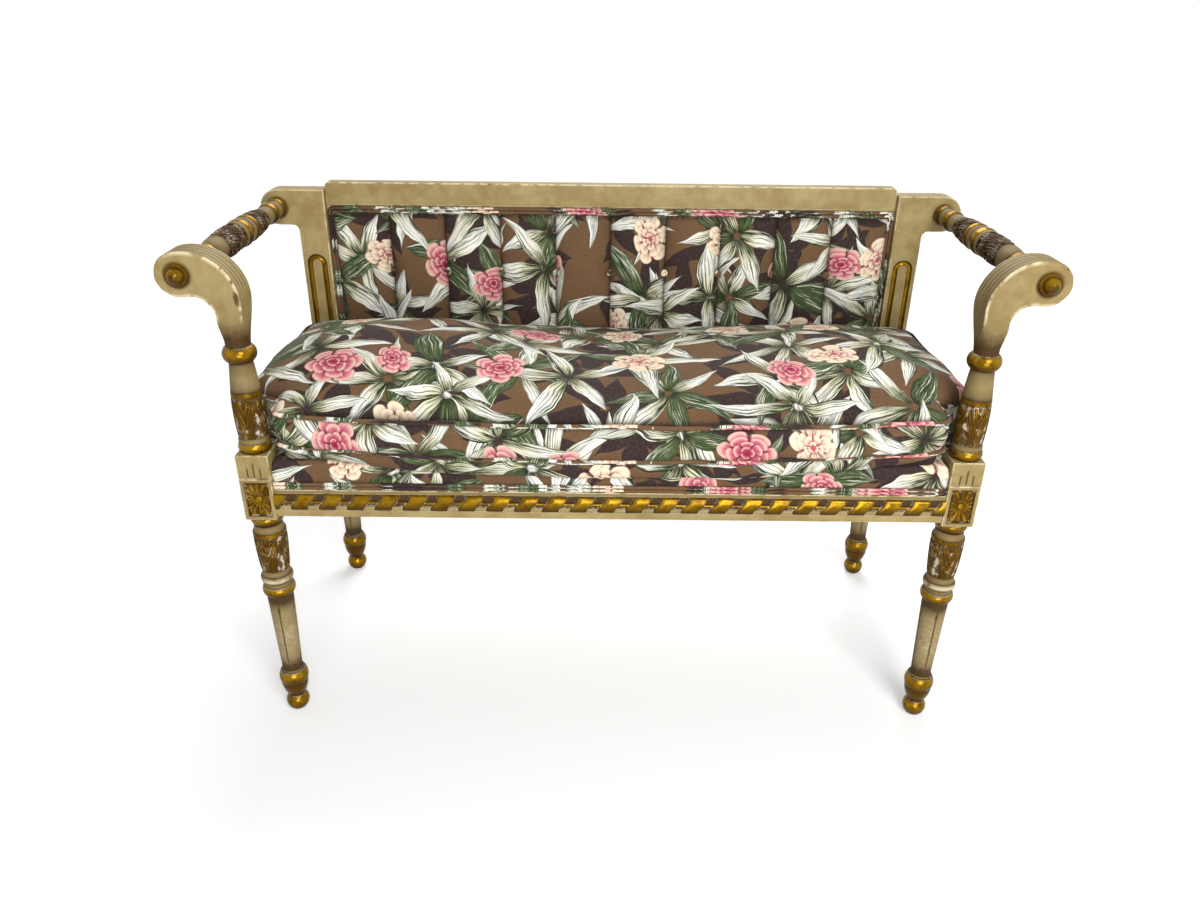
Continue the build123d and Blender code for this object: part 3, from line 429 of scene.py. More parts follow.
def gilding(name, dullness):
    """Antique gold: amber lacquer, bright rubbed crests lighter on upward faces as a painted highlight,
    brown wear, painted shade on downward faces and chalky creases.
    """
    graph, colours, place = new_finish(name)
    cloud = graph.noise(place, 60.0, 4.0, 0.6)
    grain = graph.noise(place, 420.0, 3.0, 0.6)
    up = graph.facing_up()
    # Rubbed bright gold, weighted towards upward faces as a painted highlight
    bright = (cloud * 0.8 + grain * 0.25 - dullness).step(0.30, 0.70) * (0.12 + 0.88 * up.step(-0.45, 0.55))
    gold = graph.mix(bright, colours.amber, colours.gold)
    bare = graph.noise(place, 120.0, 5.0, 0.7).step(0.62, 0.69) * 0.55
    # Downward faces darkened as painted shade
    under = up.step(-0.10, -0.80) * 0.65
    # Bare wear, glaze and the painted shade of downward faces, all towards the glaze colour
    wear_and_shade = (bare + graph.wear_and_shade("glaze") * (0.4 + grain) + under).clamp()
    gold = graph.mix(wear_and_shade, gold, colours.glaze)
    chalk = graph.wear_and_shade("chalk") * graph.noise(place, 300.0, 3.0).step(0.42, 0.58)
    gold = graph.mix(chalk * 0.8, gold, colours.residue)
    dull = (wear_and_shade + chalk).clamp()
    return graph.finish(
        GOLD_GLOSS,
        Base_Color=gold,
        Metallic=0.62 - 0.45 * dull,
        Roughness=0.13 + 0.10 * grain + 0.30 * dull,
        Normal=graph.bump(grain * 0.6 - wear_and_shade, 0.18, 0.0005),
    )


def carved_finish(name, dark):
    """Carved leaf: gold crests over glazed cuts, or brown with chalky crests on the arm spindles, paler on
    upward faces as dust and painted highlight.
    """
    graph, colours, place = new_finish(name)
    grain = graph.noise(place, 380.0, 3.0, 0.6)
    cloud = graph.noise(place, 90.0, 3.0, 0.6)
    relief = (graph.wear_and_shade("relief") + (grain - 0.5) * 0.35).clamp()
    leaf = graph.wear_and_shade("leaf").step(0.35, 0.65)
    if dark:
        # Dust on the crests, heavier on upward faces, which also stands as their painted highlight
        upward = 0.2 + 0.8 * graph.facing_up().step(0.0, 0.9)
        dust_and_highlight = relief.step(0.78, 1.0) * cloud.step(0.42, 0.60) * upward
        crest = graph.mix(dust_and_highlight * 0.8, SPINDLE_CREST, colours.residue)
        ground = graph.mix(cloud.step(0.60, 0.80) * 0.3, SPINDLE_GROUND, colours.residue)
        metal = 0.0
    else:
        shade = graph.mix(relief.step(0.10, 0.55), colours.glaze, colours.amber)
        crest = graph.mix(relief.step(0.62, 1.0) * cloud.step(0.36, 0.68) * 0.8, shade, colours.gold)
        ground = graph.mix(cloud.step(0.48, 0.60) * 0.85, LEAF_GROUND, colours.residue)
        metal = leaf * relief.step(0.25, 0.60) * 0.5
    cut = graph.wear_and_shade("glaze") * (0.5 + cloud) + (1.0 - abs(graph.wear_and_shade("leaf") * 2.0 - 1.0)) * 0.8
    tone = graph.mix(cut.clamp(), graph.mix(leaf, ground, crest), colours.glaze)
    chalk = relief.step(0.30, 0.12) * leaf * cloud.step(0.50, 0.60)
    return graph.finish(
        CARVED_GLOSS,
        Base_Color=graph.mix(chalk * 0.6, tone, colours.residue),
        Metallic=metal,
        Roughness=0.32 + 0.25 * grain,
        Normal=graph.bump(grain, 0.2, 0.0004),
    )


class Spray(NamedTuple):
    """One layer of leaf sprays: leaves to a spray, sizes as shares of the motif, and its shift."""

    leaves: int
    cell: float
    length: float
    half_width: float
    shift: tuple


SHADOW_LAYERS = (
    Spray(6, 1.50, 1.00, 0.17, (3.31, 7.77, 0.0)),
    Spray(5, 1.62, 1.05, 0.18, (9.07, 3.89, 0.0)),
)
LEAF_LAYERS = (
    Spray(7, 1.82, 1.06, 0.130, (0.37, 0.91, 0.0)),
    Spray(6, 1.66, 0.98, 0.142, (5.13, 2.29, 0.0)),
    Spray(5, 1.90, 1.12, 0.158, (2.71, 6.43, 0.0)),
    Spray(6, 1.74, 1.00, 0.136, (7.19, 1.57, 0.0)),
)


def leaf_spray(graph, place, motif, layer):
    """A burst of lance leaves round the heart of each cell: its cover and each leaf's own coordinates."""
    leaves = layer.leaves
    shifted = graph.vector("ADD", place, layer.shift)
    settings = {"voronoi_dimensions": "2D", "feature": "F1"}
    values = {"Vector": shifted, "Scale": 1.0 / (layer.cell * motif), "Randomness": 0.5}
    cells = graph.node("ShaderNodeTexVoronoi", settings, values, "Color")
    heart = graph.other(cells, "Position")
    settings["feature"] = "DISTANCE_TO_EDGE"
    border = graph.node("ShaderNodeTexVoronoi", settings, values, "Distance")
    x, y, _ = graph.split(graph.vector("SUBTRACT", shifted, heart))
    chance, second, _ = graph.split(cells)
    radius = (x * x + y * y) ** 0.5
    turn = y.math("ARCTAN2", x) / math.tau + chance
    sector = (turn + 2.0) * float(leaves)
    number = sector.math("FLOOR").math("MODULO", float(leaves))
    seed = {"Vector": graph.join(chance * 91.0, second * 47.0, number)}
    draw = graph.node("ShaderNodeTexWhiteNoise", {"noise_dimensions": "3D"}, seed, "Color")
    long, lean, wide = graph.split(draw)
    length = (0.58 + 0.42 * long) * (layer.length * motif)
    along = radius / length
    swerve = sector.math("FRACT") - 0.5 + (lean - 0.5) * along * 0.42
    angle = swerve * (math.tau / leaves)
    run = radius * angle.math("COSINE") / length
    across = radius * angle.math("SINE")
    full = (run.clamp() ** 0.8 * math.pi).math("SINE") * border.step(0.0, 0.17)
    width = full * (0.62 + 0.38 * wide) * (layer.half_width * motif) + 0.00001
    share = across / width
    cover = abs(share).step(1.0, 0.88) * run.step(0.03, 0.08) * run.step(1.0, 0.985)
    return cover, run, share, wide


def printed_cloth(name, turned=0.0):
    """Printed cotton: sprays of lance leaves and round blossoms over shadow leaves on a brown ground, with
    painted shade in its seams and folds.
    """
    colours = bpy.context.scene.settee_print
    graph = Graph(bpy.data.materials.new(name))
    flat = graph.print_place()
    if turned:
        values = {"Vector": flat, "Angle": turned}
        flat = graph.node("ShaderNodeVectorRotate", {"rotation_type": "Z_AXIS"}, values)
    values = {"Vector": flat, "Scale": 14.0}
    wander = graph.node("ShaderNodeTexNoise", {"noise_dimensions": "2D"}, values, "Color")
    drift = graph.vector("MULTIPLY", graph.vector("SUBTRACT", wander, (0.5, 0.5, 0.5)), (0.020, 0.020, 0.0))
    place = graph.vector("ADD", flat, drift)
    reach = colours.motif
    cloud = graph.noise(flat, 30.0, 2.0)
    cloth = graph.mix(cloud.step(0.3, 0.7) * 0.12, colours.ground, colours.shadow)
    for layer in SHADOW_LAYERS:
        cover = leaf_spray(graph, place, reach, layer)[0]
        cloth = graph.mix(cover, cloth, colours.shadow)
    for layer in LEAF_LAYERS:
        cover, run, share, wide = leaf_spray(graph, place, reach, layer)
        strokes = graph.noise(graph.join(run * 1.1, share * 3.4, wide * 9.0), 2.4, 2.5, 0.62)
        side = share.step(0.05, 0.95)
        rootward = run.step(0.42, 0.06)
        whole = wide.step(0.72, 0.76)
        leaf = graph.mix(run.step(0.62, 0.10) * 0.8, colours.pale, LEAF_STRAW)
        green = (side * 0.9 + rootward * 0.8) * strokes.step(0.38, 0.50) + whole * strokes.step(0.62, 0.54)
        leaf = graph.mix(green.clamp(), leaf, colours.green)
        leaf = graph.mix(whole * strokes.step(0.47, 0.41) * 0.8, leaf, colours.dark)
        ink = strokes.step(0.505, 0.55) * (0.55 + side * 0.8 + rootward * 0.7) * (1.0 - whole * 0.6)
        rim = abs(share).step(0.80, 0.94) * 0.85
        midrib = abs(share).step(0.08, 0.03) * 0.6
        ink = ink + rim + midrib + run.step(0.20, 0.03)
        leaf = graph.mix(ink.clamp() * 0.95, leaf, colours.dark)
        cloth = graph.mix(cover, cloth, leaf)
    cloth = blossoms(graph, place, cloth, colours)
    thread = graph.split(graph.vector("MULTIPLY", flat, (5600.0, 5600.0, 0.0)))
    weave = thread[0].math("SINE") * thread[1].math("SINE")
    faded = graph.noise(flat, 240.0, 2.0)
    cloth = graph.mix(faded.step(0.35, 0.80) * 0.03, cloth, colours.blush)
    # Painted shade in seams, pleat valleys, round buttons, on the inner side of piping and under the
    # cushion
    cloth = graph.mix(graph.wear_and_shade("glaze").clamp() * 0.82, cloth, SEAM_SHADE)
    return graph.finish(
        CLOTH_GLOSS,
        Base_Color=cloth,
        Roughness=0.56 + 0.16 * faded,
        Normal=graph.bump(weave * 0.5 + faded * 0.4, 0.08, 0.0004),
        Sheen_Weight=CLOTH_SHEEN,
        Sheen_Roughness=0.45,
    )


# Rings of a blossom: share of its reach, petals and turn
BLOSSOM_RINGS = ((1.0, 6, 0.0), (0.74, 5, 0.9), (0.46, 5, 2.1), (0.22, 3, 0.4))


def blossoms(graph, place, cloth, colours):
    """Open blossoms of ringed petals laid over the leaves."""
    reach = colours.motif
    shifted = graph.vector("ADD", place, (8.41, 4.63, 0.0))
    settings = {"voronoi_dimensions": "2D", "feature": "F1"}
    values = {"Vector": shifted, "Scale": 1.0 / (reach * 1.30), "Randomness": 0.7}
    cells = graph.node("ShaderNodeTexVoronoi", settings, values, "Color")
    x, y, _ = graph.split(graph.vector("SUBTRACT", shifted, graph.other(cells, "Position")))
    chance, kind, size = graph.split(cells)
    lean = chance * math.tau
    turned_x = x * lean.math("COSINE") + y * lean.math("SINE")
    turned_y = (y * lean.math("COSINE") - x * lean.math("SINE")) * 1.28
    radius = (turned_x * turned_x + turned_y * turned_y) ** 0.5
    angle = turned_y.math("ARCTAN2", turned_x)
    pale = kind > 0.56
    body = graph.mix(pale, colours.pink, colours.blush)
    heart = graph.mix(pale * 0.7, colours.crimson, colours.pink)
    spoke = graph.join(turned_x / radius * 2.4, turned_y / radius * 2.4, size * 9.0)
    streak = graph.noise(spoke, 2.4, 3.0, 0.7)
    shown = kind > 0.16
    full = reach * (0.27 + 0.10 * size)
    for share, petals, shift in BLOSSOM_RINGS:
        fold = abs((angle * (petals / 2.0) + size * 6.0 + shift).math("COSINE"))
        rim = full * share * (0.74 + 0.26 * fold ** 0.55)
        out = radius / rim
        petal = graph.mix(out.step(0.25, 0.90), heart, body)
        petal = graph.mix(out.step(0.70, 0.96) * 0.60, petal, colours.blush)
        petal = graph.mix(streak.step(0.47, 0.56) * 0.85 * out.step(1.05, 0.35), petal, colours.crimson)
        crease = fold.step(0.40, 0.08) * out.step(0.2, 0.6)
        ink = (crease + out.step(0.93, 0.99) * 0.6).clamp()
        petal = graph.mix(ink * 0.8, petal, colours.crimson)
        petal = graph.mix(crease * streak.step(0.42, 0.52) * 0.7, petal, colours.dark)
        cloth = graph.mix(out.step(1.0, 0.975) * shown, cloth, petal)
    return cloth


def tint(tone, share):
    """A colour made darker or paler by a share."""
    return tuple(min(1.0, part * share) for part in tone)


def woven_jute(name, pitch):
    """Plain jute weave with loose fibres."""
    graph, colours, place = new_finish(name)
    x, y, _ = graph.split(graph.vector("MULTIPLY", place, (math.pi / pitch, math.pi / pitch, 1.0)))
    weave = x.math("SINE") * y.math("SINE")
    fibre = graph.noise(place, 300.0, 4.0, 0.7)
    tone = graph.mix(fibre.step(0.3, 0.7), tint(colours.jute, 0.55), colours.jute)
    tone = graph.mix(weave.step(-0.2, 0.8) * 0.5, tone, tint(colours.jute, 1.35))
    threads = graph.bump(weave + fibre, 0.5, 0.0008)
    return graph.finish(Base_Color=tone, Roughness=0.85 + 0.1 * fibre, Normal=threads)


def bare_wood(name, along):
    """Plain planed wood with its grain along one way."""
    graph, colours, place = new_finish(name)
    grain = graph.noise(graph.vector("MULTIPLY", place, GRAIN_STRETCH[along]), 0.8, 5.0, 0.65)
    cloud = graph.noise(place, 12.0, 2.0)
    tone = graph.mix(grain.step(0.3, 0.75), colours.beech, tint(colours.beech, 0.55))
    tone = graph.mix(cloud.step(0.4, 0.7) * 0.3, tone, tint(colours.beech, 1.3))
    pores = graph.bump(grain, 0.2, 0.0005)
    return graph.finish(Base_Color=tone, Roughness=0.55 + 0.2 * grain, Normal=pores)


def plain_steel(name):
    """Screw steel with turning marks."""
    graph = Graph(bpy.data.materials.new(name))
    mark = graph.noise(graph.place(), 900.0, 3.0)
    tone = graph.mix(mark.step(0.3, 0.7), (0.42, 0.42, 0.43), (0.60, 0.60, 0.61))
    return graph.finish(Base_Color=tone, Metallic=1.0, Roughness=0.3 + 0.25 * mark)


# Maker of each finish and what it is told after the name
FINISHES = {
    "cream_up": (cream_paint, "up"),
    "cream_across": (cream_paint, "across"),
    "cream_deep": (cream_paint, "deep"),
    "cream_eye": (cream_paint, "up", True),
    "gold": (gilding, 0.0),
    "dull_gold": (gilding, 0.22),
    "carved": (carved_finish, False),
    "carved_dark": (carved_finish, True),
    "print": (printed_cloth,),
    "bias": (printed_cloth, math.radians(45)),
    "webbing": (woven_jute, 0.0022),
    "hessian": (woven_jute, 0.0016),
    "beech": (bare_wood, "across"),
    "ply": (bare_wood, "up"),
    "steel": (plain_steel,),
}


def finish_material(name):
    """The material of a finish, made when it is first asked for."""
    maker, *settings = FINISHES[name]
    return bpy.data.materials.get(name) or maker(name, *settings)


# Creases sharper than this stay sharp, in degrees; points nearer than this are joined
CREASE = 38.0
WELD = 0.02


class Shape:
    """One mesh being put together: points in millimetres, faces, their finishes, print places and wear,
    some of it painted shade.
    """

    def __init__(self):
        self.points = []
        self.faces = []
        self.finishes = []
        self.places = []
        self.wear = {name: [] for name in WEAR}
        self.count = 0

    def add(self, points, **wear):
        points = np.asarray(points, float)
        layout = points.shape[:-1]
        start = self.count
        self.points.append(points.reshape(-1, 3))
        self.count += len(self.points[-1])
        for name in WEAR:
            self.wear[name].append(np.broadcast_to(wear.get(name, 0.0), layout).ravel())
        return start

    def grid(self, points, around=False, loop=False, finish="cream_up", print_at=None, **wear):
        """A sheet of quads over rows and columns of points; around joins the columns, loop the rows."""
        points = np.asarray(points, float)
        rows, columns = points.shape[:2]
        index = self.add(points, **wear) + np.arange(rows * columns).reshape(rows, columns)
        if loop:
            index = np.vstack([index, index[:1]])
        if around:
            index = np.hstack([index, index[:, :1]])

        def corners(field):
            return np.stack([field[:-1, :-1], field[:-1, 1:], field[1:, 1:], field[1:, :-1]], axis=2)

        self.faces.extend(corners(index).reshape(-1, 4).tolist())
        cells = (index.shape[0] - 1, index.shape[1] - 1)
        self.finishes.extend(np.broadcast_to(finish, cells).ravel().tolist())
        if print_at is None:
            print_at = np.zeros((*index.shape, 2))
        self.places.append(corners(np.asarray(print_at, float) * MM).reshape(-1, 2))
        return index

    def cap(self, ring, finish="cream_up", print_at=None):
        """One face across a ring of points that are already in the mesh."""
        ring = [int(number) for number in ring]
        self.faces.append(ring)
        self.finishes.append(finish)
        if print_at is None:
            print_at = np.zeros((len(ring), 2))
        self.places.append(np.asarray(print_at, float) * MM)

    def close(self, index, foot, head):
        """Caps the first and the last row of a grid that goes all round."""
        self.cap(index[0, :-1], foot)
        self.cap(index[-1, :-1], head)

    def mesh(self, name, sharp=CREASE):
        """The finished mesh, welded, with its normals outward and its creases sharp."""
        mesh = bpy.data.meshes.new(name)
        mesh.from_pydata((np.concatenate(self.points) * MM).tolist(), [], self.faces)
        names = sorted(set(self.finishes))
        for finish in names:
            mesh.materials.append(finish_material(finish))
        mesh.polygons.foreach_set("material_index", [names.index(finish) for finish in self.finishes])
        mesh.uv_layers.new(name="Print").data.foreach_set("uv", np.concatenate(self.places).ravel())
        for wear in WEAR:
            layer = mesh.attributes.new(wear, "FLOAT", "POINT")
            layer.data.foreach_set("value", np.concatenate(self.wear[wear]))
        body = bmesh.new()
        body.from_mesh(mesh)
        bmesh.ops.remove_doubles(body, verts=body.verts, dist=WELD * MM)
        bmesh.ops.recalc_face_normals(body, faces=body.faces)
        body.to_mesh(mesh)
        body.free()
        mesh.shade_smooth()
        mesh.set_sharp_from_angle(angle=math.radians(sharp))
        return mesh


def show(shape, name, nodes, body=FRAME_BODY, sharp=CREASE):
    """Puts a finished shape in the scene in place of the nodes that it stands for."""
    piece = bpy.data.objects.new(name, shape.mesh(name, sharp))
    bpy.context.scene.collection.objects.link(piece)
    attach(piece, body)
    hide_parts(*nodes)
    return piece


def ease(value, start, end):
    """Smooth 0 to 1 as a value goes from start to end."""
    share = np.clip((np.asarray(value, float) - start) / (end - start), 0.0, 1.0)
    return share * share * (3 - 2 * share)


def ripple(value, pitch, phase):
    """A steady but uneven wave from -1 to 1, for soft things."""
    turn = np.asarray(value, float) * (math.tau / pitch)
    waves = ((0.55, 1.0, 1.0), (0.3, 1.73, 2.1), (0.15, 3.1, 1.0))
    return sum(size * np.sin(rate * turn + lead * phase) for size, rate, lead in waves)


def swelling(member, share):
    """How far a member stands off its straight side: an arc with the member's swell as its height."""
    if not member.swell:
        return np.zeros_like(share)
    rise = abs(member.swell)
    radius = (member.length ** 2 / 4 + rise ** 2) / (2 * rise)
    off = (share - 0.5) * member.length
    return math.copysign(1, member.swell) * (np.sqrt(radius ** 2 - off ** 2) - (radius - rise))


TURNED_COLUMNS = 144
ROW_STEP = 1.3
FLUTES = 4
FLUTE_DEPTH = 1.7
LEAVES = 4
SPINDLE_LEAF_ROWS = 2
SPINDLE_LEAVES = 5


def palmette(turn, share):
    """Carved leaf fan by angle and share of the height: its rise off the turning, leaf cover and relief."""
    sector = np.mod(turn * LEAVES / math.tau + 0.5, 1.0) * 2 - 1
    fan = sector / (0.58 + 0.38 * ease(share, -0.05, 0.75))
    ridge = 0.5 + 0.5 * np.cos(math.tau * 3.6 * (share - 0.85 * abs(fan) ** 1.2))
    top = 0.84 - 0.07 * fan ** 2 + 0.04 * ridge
    inside = ease(0.92 + 0.16 * ridge - abs(fan), -0.04, 0.10) * ease(top - share, -0.015, 0.03)
    rib = np.exp(-(sector / 0.05) ** 2) * inside
    band = ease(share - 0.03 * np.abs(np.cos(sector * math.pi * 2.5)), 0.865, 0.885)
    leaf = np.maximum(inside, band)
    relief = np.where(band > inside, 0.85, inside * np.clip(1.05 * ridge ** 0.8 - 0.05 - 0.3 * rib, 0, 1))
    height = -1.4 + inside * (0.9 + 1.2 * ridge) - 0.5 * rib + 1.7 * band
    return height, leaf, relief


def spindle_leaf(turn, share):
    """Coarse staggered leaves carved along the arm spindles."""
    row = np.minimum(np.floor(share * SPINDLE_LEAF_ROWS), SPINDLE_LEAF_ROWS - 1)
    part = share * SPINDLE_LEAF_ROWS - row
    bent = turn * SPINDLE_LEAVES / math.tau + 0.5 * row + 0.10 * np.sin(part * 5 + turn * 3)
    sector = np.mod(bent + 0.5, 1.0) * 2 - 1
    belly = np.sin(math.pi * np.clip(0.12 + 0.80 * part, 0, 1))
    width = 0.45 + 0.52 * belly + 0.10 * np.cos(part * math.tau * 3)
    ridge = 0.5 + 0.5 * np.cos(sector / (0.35 + 0.65 * part) * math.pi * 3)
    inside = ease(width - abs(sector), 0.0, 0.16) * ease(part, 0.0, 0.10)
    return -1.4 + 2.0 * inside * (0.35 + 0.65 * ridge), inside, inside * ridge


def turned(shape, foot, axis, members, side=1, columns=TURNED_COLUMNS):
    """A turning from a foot point along an axis: the rows of its members swung round it."""
    axis = np.array(axis, float)
    front = np.array((0.0, -1.0, 0.0)) if abs(axis[2]) > 0.5 else np.array((0.0, 0.0, 1.0))
    beside = np.cross(axis, front)
    turn = np.linspace(0, math.tau, columns, endpoint=False)
    ring = np.cos(turn)[:, None] * front + np.sin(turn)[:, None] * beside
    rows, finishes, wear = [], [], {name: [] for name in WEAR}
    height = 0.0
    for member in members:
        share, radius, wear_and_shade = turned_member(member, turn)
        at = np.asarray(foot, float) + (height + share * member.length)[:, None, None] * axis
        rows.append(at + radius[:, :, None] * ring[None, :, :])
        upper = member.upper or member.finish
        finishes.extend(member.finish if part < member.upper_from else upper for part in share)
        for name in WEAR:
            wear[name].append(np.broadcast_to(wear_and_shade.get(name, 0.0), radius.shape))
        height += member.length
    points = np.concatenate(rows)
    points[..., 0] *= side
    cells = np.array(finishes, object)[1:, None]
    wear = {name: np.concatenate(values) for name, values in wear.items()}
    index = shape.grid(points, around=True, finish=cells, **wear)
    shape.close(index, members[0].finish, members[-1].upper or members[-1].finish)


def turned_member(member, turn):
    """Shares of the height, radii and wear of one turned or carved member, by row and by angle, with a
    painted highlight up the middle of the leg shaft.
    """
    carved = member.finish.startswith("carved")
    count = max(4, int(member.length / ROW_STEP))
    share = np.linspace(0, 1, count + 8) if carved else (1 - np.cos(np.linspace(0, math.pi, count))) / 2
    radius = member.start + (member.end - member.start) * share + swelling(member, share)
    radius = np.repeat(radius[:, None], len(turn), axis=1)
    near = np.minimum(share, 1 - share) * member.length
    reach = min(1.7, 0.09 * member.length)
    glaze = np.repeat((0.85 * np.exp(-near / reach))[:, None], len(turn), axis=1)
    chalk = edge = leaf = relief = np.zeros_like(radius)
    if member.finish == "gold" and member.length > 12:
        chalk = chalk + (0.6 * np.exp(-(1 - share) * member.length / 0.9))[:, None]
    if member.finish.startswith("cream"):
        glaze = glaze * 0.6 + (0.52 * np.exp(-near / 14.0))[:, None] + 0.2 * (member.length > 30)
        if member.swell > 1.5:
            edge = edge + np.exp(-((share - 0.5) / 0.26) ** 2)[:, None]
    if member is LEG_SHAFT:
        cut = flute_cut(turn, share, radius)
        ends = 0.95 * np.exp(-(near / 18.0) ** 2) + 0.45 * np.exp(-near / 36.0)
        # Pale chalky patches up the middle of the shaft, which also stand as a painted highlight
        middle = 0.3 * np.exp(-((share - 0.46) / 0.28) ** 2)
        radius = radius - FLUTE_DEPTH * cut
        glaze = np.maximum(ends[:, None], 0.95 * cut)
        chalk = middle[:, None] * (1 - cut)
    if carved:
        carve = palmette if member.finish == "carved" else spindle_leaf
        off, leaf, relief = carve(turn[None, :], share[:, None])
        radius = radius + off * ease(near, 0.0, 2.0)[:, None]
        glaze = 0.6 * glaze
    return share, radius, {"glaze": glaze, "chalk": chalk, "edge": edge, "leaf": leaf, "relief": relief}


def flute_cut(turn, share, radius):
    """Depth of the fine incised lines up a leg shaft, with a drop-shaped head."""
    sector = (np.mod(turn * FLUTES / math.tau + 0.5, 1.0) - 0.5) * math.tau / FLUTES
    off = np.abs(sector)[None, :] * radius
    head = 0.5 * np.exp(-((share - 0.90) / 0.022) ** 2) + np.exp(-((share - 0.82) / 0.035) ** 2)
    width = (1.25 + 2.2 * head)[:, None]
    reach = (ease(share, 0.10, 0.13) * ease(share, 0.93, 0.89))[:, None]
    return np.exp(-(off / width) ** 2) * reach


def lattice(low, high, radius, cells):
    """Coordinates along one side of a rounded box, closer together where its edge turns."""
    bend = radius * (1 - np.cos(np.linspace(0, math.pi / 2, 4)))[:-1]
    middle = np.linspace(low + radius, high - radius, max(2, cells))
    return np.concatenate([low + bend, middle, (high - bend)[::-1]])


def rounded_box(
    shape, low, high, radius=SOFT_ARRIS, cells=(2, 2, 2), finish="cream_up", front=None, glaze=0.0
):
    """A box with softened edges; front is an optional carving of its face towards -Y."""
    low = np.asarray(low, float)
    high = np.asarray(high, float)
    lines = [lattice(low[axis], high[axis], radius, cells[axis]) for axis in range(3)]
    for axis in range(3):
        first, second = [other for other in range(3) if other != axis]
        for level in (low[axis], high[axis]):
            across, along = np.meshgrid(lines[first], lines[second], indexing="ij")
            points = np.empty((*across.shape, 3))
            points[..., first] = across
            points[..., second] = along
            points[..., axis] = level
            core = np.clip(points, low + radius, high - radius)
            off = points - core
            far = np.linalg.norm(off, axis=2, keepdims=True)
            points = core + off * (radius / np.maximum(far, 1e-6))
            edge = ((np.abs(off) > 1e-6).sum(axis=2) > 1).astype(float)
            wear = {"edge": edge, "glaze": np.full_like(edge, glaze)}
            faced = finish
            if front is not None and axis == 1 and level == low[1]:
                points, faced, wear = front(points, wear)
            shape.grid(points, finish=faced, **wear)


ROSETTE_HALF_WIDTH = 16.5
ROSETTE_HALF_HEIGHT = 26.5
ROSETTE_DEPTH = 2.6
ROSETTE_PETALS = 16
ROSETTE_EYE = 6.0


def rosette_face(centre_x, centre_z):
    """Carving of a leg block's face: a sunk rectangle with a rosette whose petals run out to its sides."""

    def carve(points, wear):
        x = points[..., 0] - centre_x
        z = points[..., 2] - centre_z
        rim = np.maximum(abs(x) / ROSETTE_HALF_WIDTH, abs(z) / ROSETTE_HALF_HEIGHT)
        sunk = ease(rim, 1.03, 0.96)
        radius = np.hypot(x, z)
        angle = np.arctan2(x, z)
        petal = np.abs(np.cos(angle * ROSETTE_PETALS / 2)) ** 0.7
        fill = ease(rim, 0.97, 0.88) * ease(radius, 5.0, 7.0)
        eye = ease(radius, ROSETTE_EYE, ROSETTE_EYE - 1.4)
        fan = 0.35 + 1.75 * petal * ease(radius, 4.0, 14.0)
        dome = 1.2 + 1.3 * np.sqrt(np.clip(1 - (radius / ROSETTE_EYE) ** 2, 0, 1))
        lift = fill * fan + eye * dome
        points = points.copy()
        points[..., 1] += sunk * ROSETTE_DEPTH - sunk * lift
        relief = np.clip(fill * petal + eye, 0, 1)
        glaze = np.exp(-((rim - 1.0) / 0.05) ** 2) * 0.85
        wear = {**wear, "leaf": sunk, "relief": relief, "glaze": glaze}
        inside = (rim[:-1, :-1] < 1.02) & (rim[1:, 1:] < 1.02)
        return points, np.where(inside, "carved", "cream_up"), wear

    return carve


# Place across and length of each gouge
GOUGES = ((-9.0, 17.0), (0.0, 25.0), (9.0, 17.0))
GOUGE_DEPTH = 1.5
GOUGE_WIDTH = 0.9


def gouged_face(centre_x, foot_z):
    """Carving of an arm post block's face: three dark gouges rising from the joint."""

    def carve(points, wear):
        x = points[..., 0] - centre_x
        z = points[..., 2] - foot_z
        cut = np.zeros_like(x)
        for place, length in GOUGES:
            reach = ease(z, 0.5, 2.5) * ease(z, length + 2, length - 2)
            cut = np.maximum(cut, np.exp(-((x - place) / GOUGE_WIDTH) ** 2) * reach)
        points = points.copy()
        points[..., 1] += GOUGE_DEPTH * cut
        glaze = np.maximum(cut, 0.7 * np.exp(-z / 1.5))
        return points, "cream_up", {**wear, "glaze": glaze}

    return carve


# Cells across, through and up a block, with enough of them for its carving
CARVED_LEG_CELLS = (64, 3, 92)
PLAIN_LEG_CELLS = (3, 3, 3)
CARVED_POST_CELLS = (60, 3, 40)


class SETTEE_OT_legs(bpy.types.Operator):
    """Turn the four legs, with their blocks, flutes and carving"""

    bl_idname = "settee.legs"
    bl_label = "Legs"

    def execute(self, context):
        for end, y in (("front", FRONT_Y), ("back", REAR_Y)):
            for name, side in SIDES:
                shape = Shape()
                turned(shape, (LEG_X, y, 0.0), (0, 0, 1), LEG_TURNING, side)
                x = side * LEG_X
                low = (x - BLOCK / 2, y - BLOCK / 2, LEG_HEIGHT)
                high = (x + BLOCK / 2, y + BLOCK / 2, JOINT_Z - JOINT_LINE)
                carving = rosette_face(x, LEG_HEIGHT + LEG_BLOCK_HEIGHT / 2) if end == "front" else None
                cells = CARVED_LEG_CELLS if carving else PLAIN_LEG_CELLS
                rounded_box(shape, low, high, cells=cells, front=carving)
                show(shape, f"turned_{end}_leg_{name}", [f"{end}_leg_{name}"])
        return {"FINISHED"}


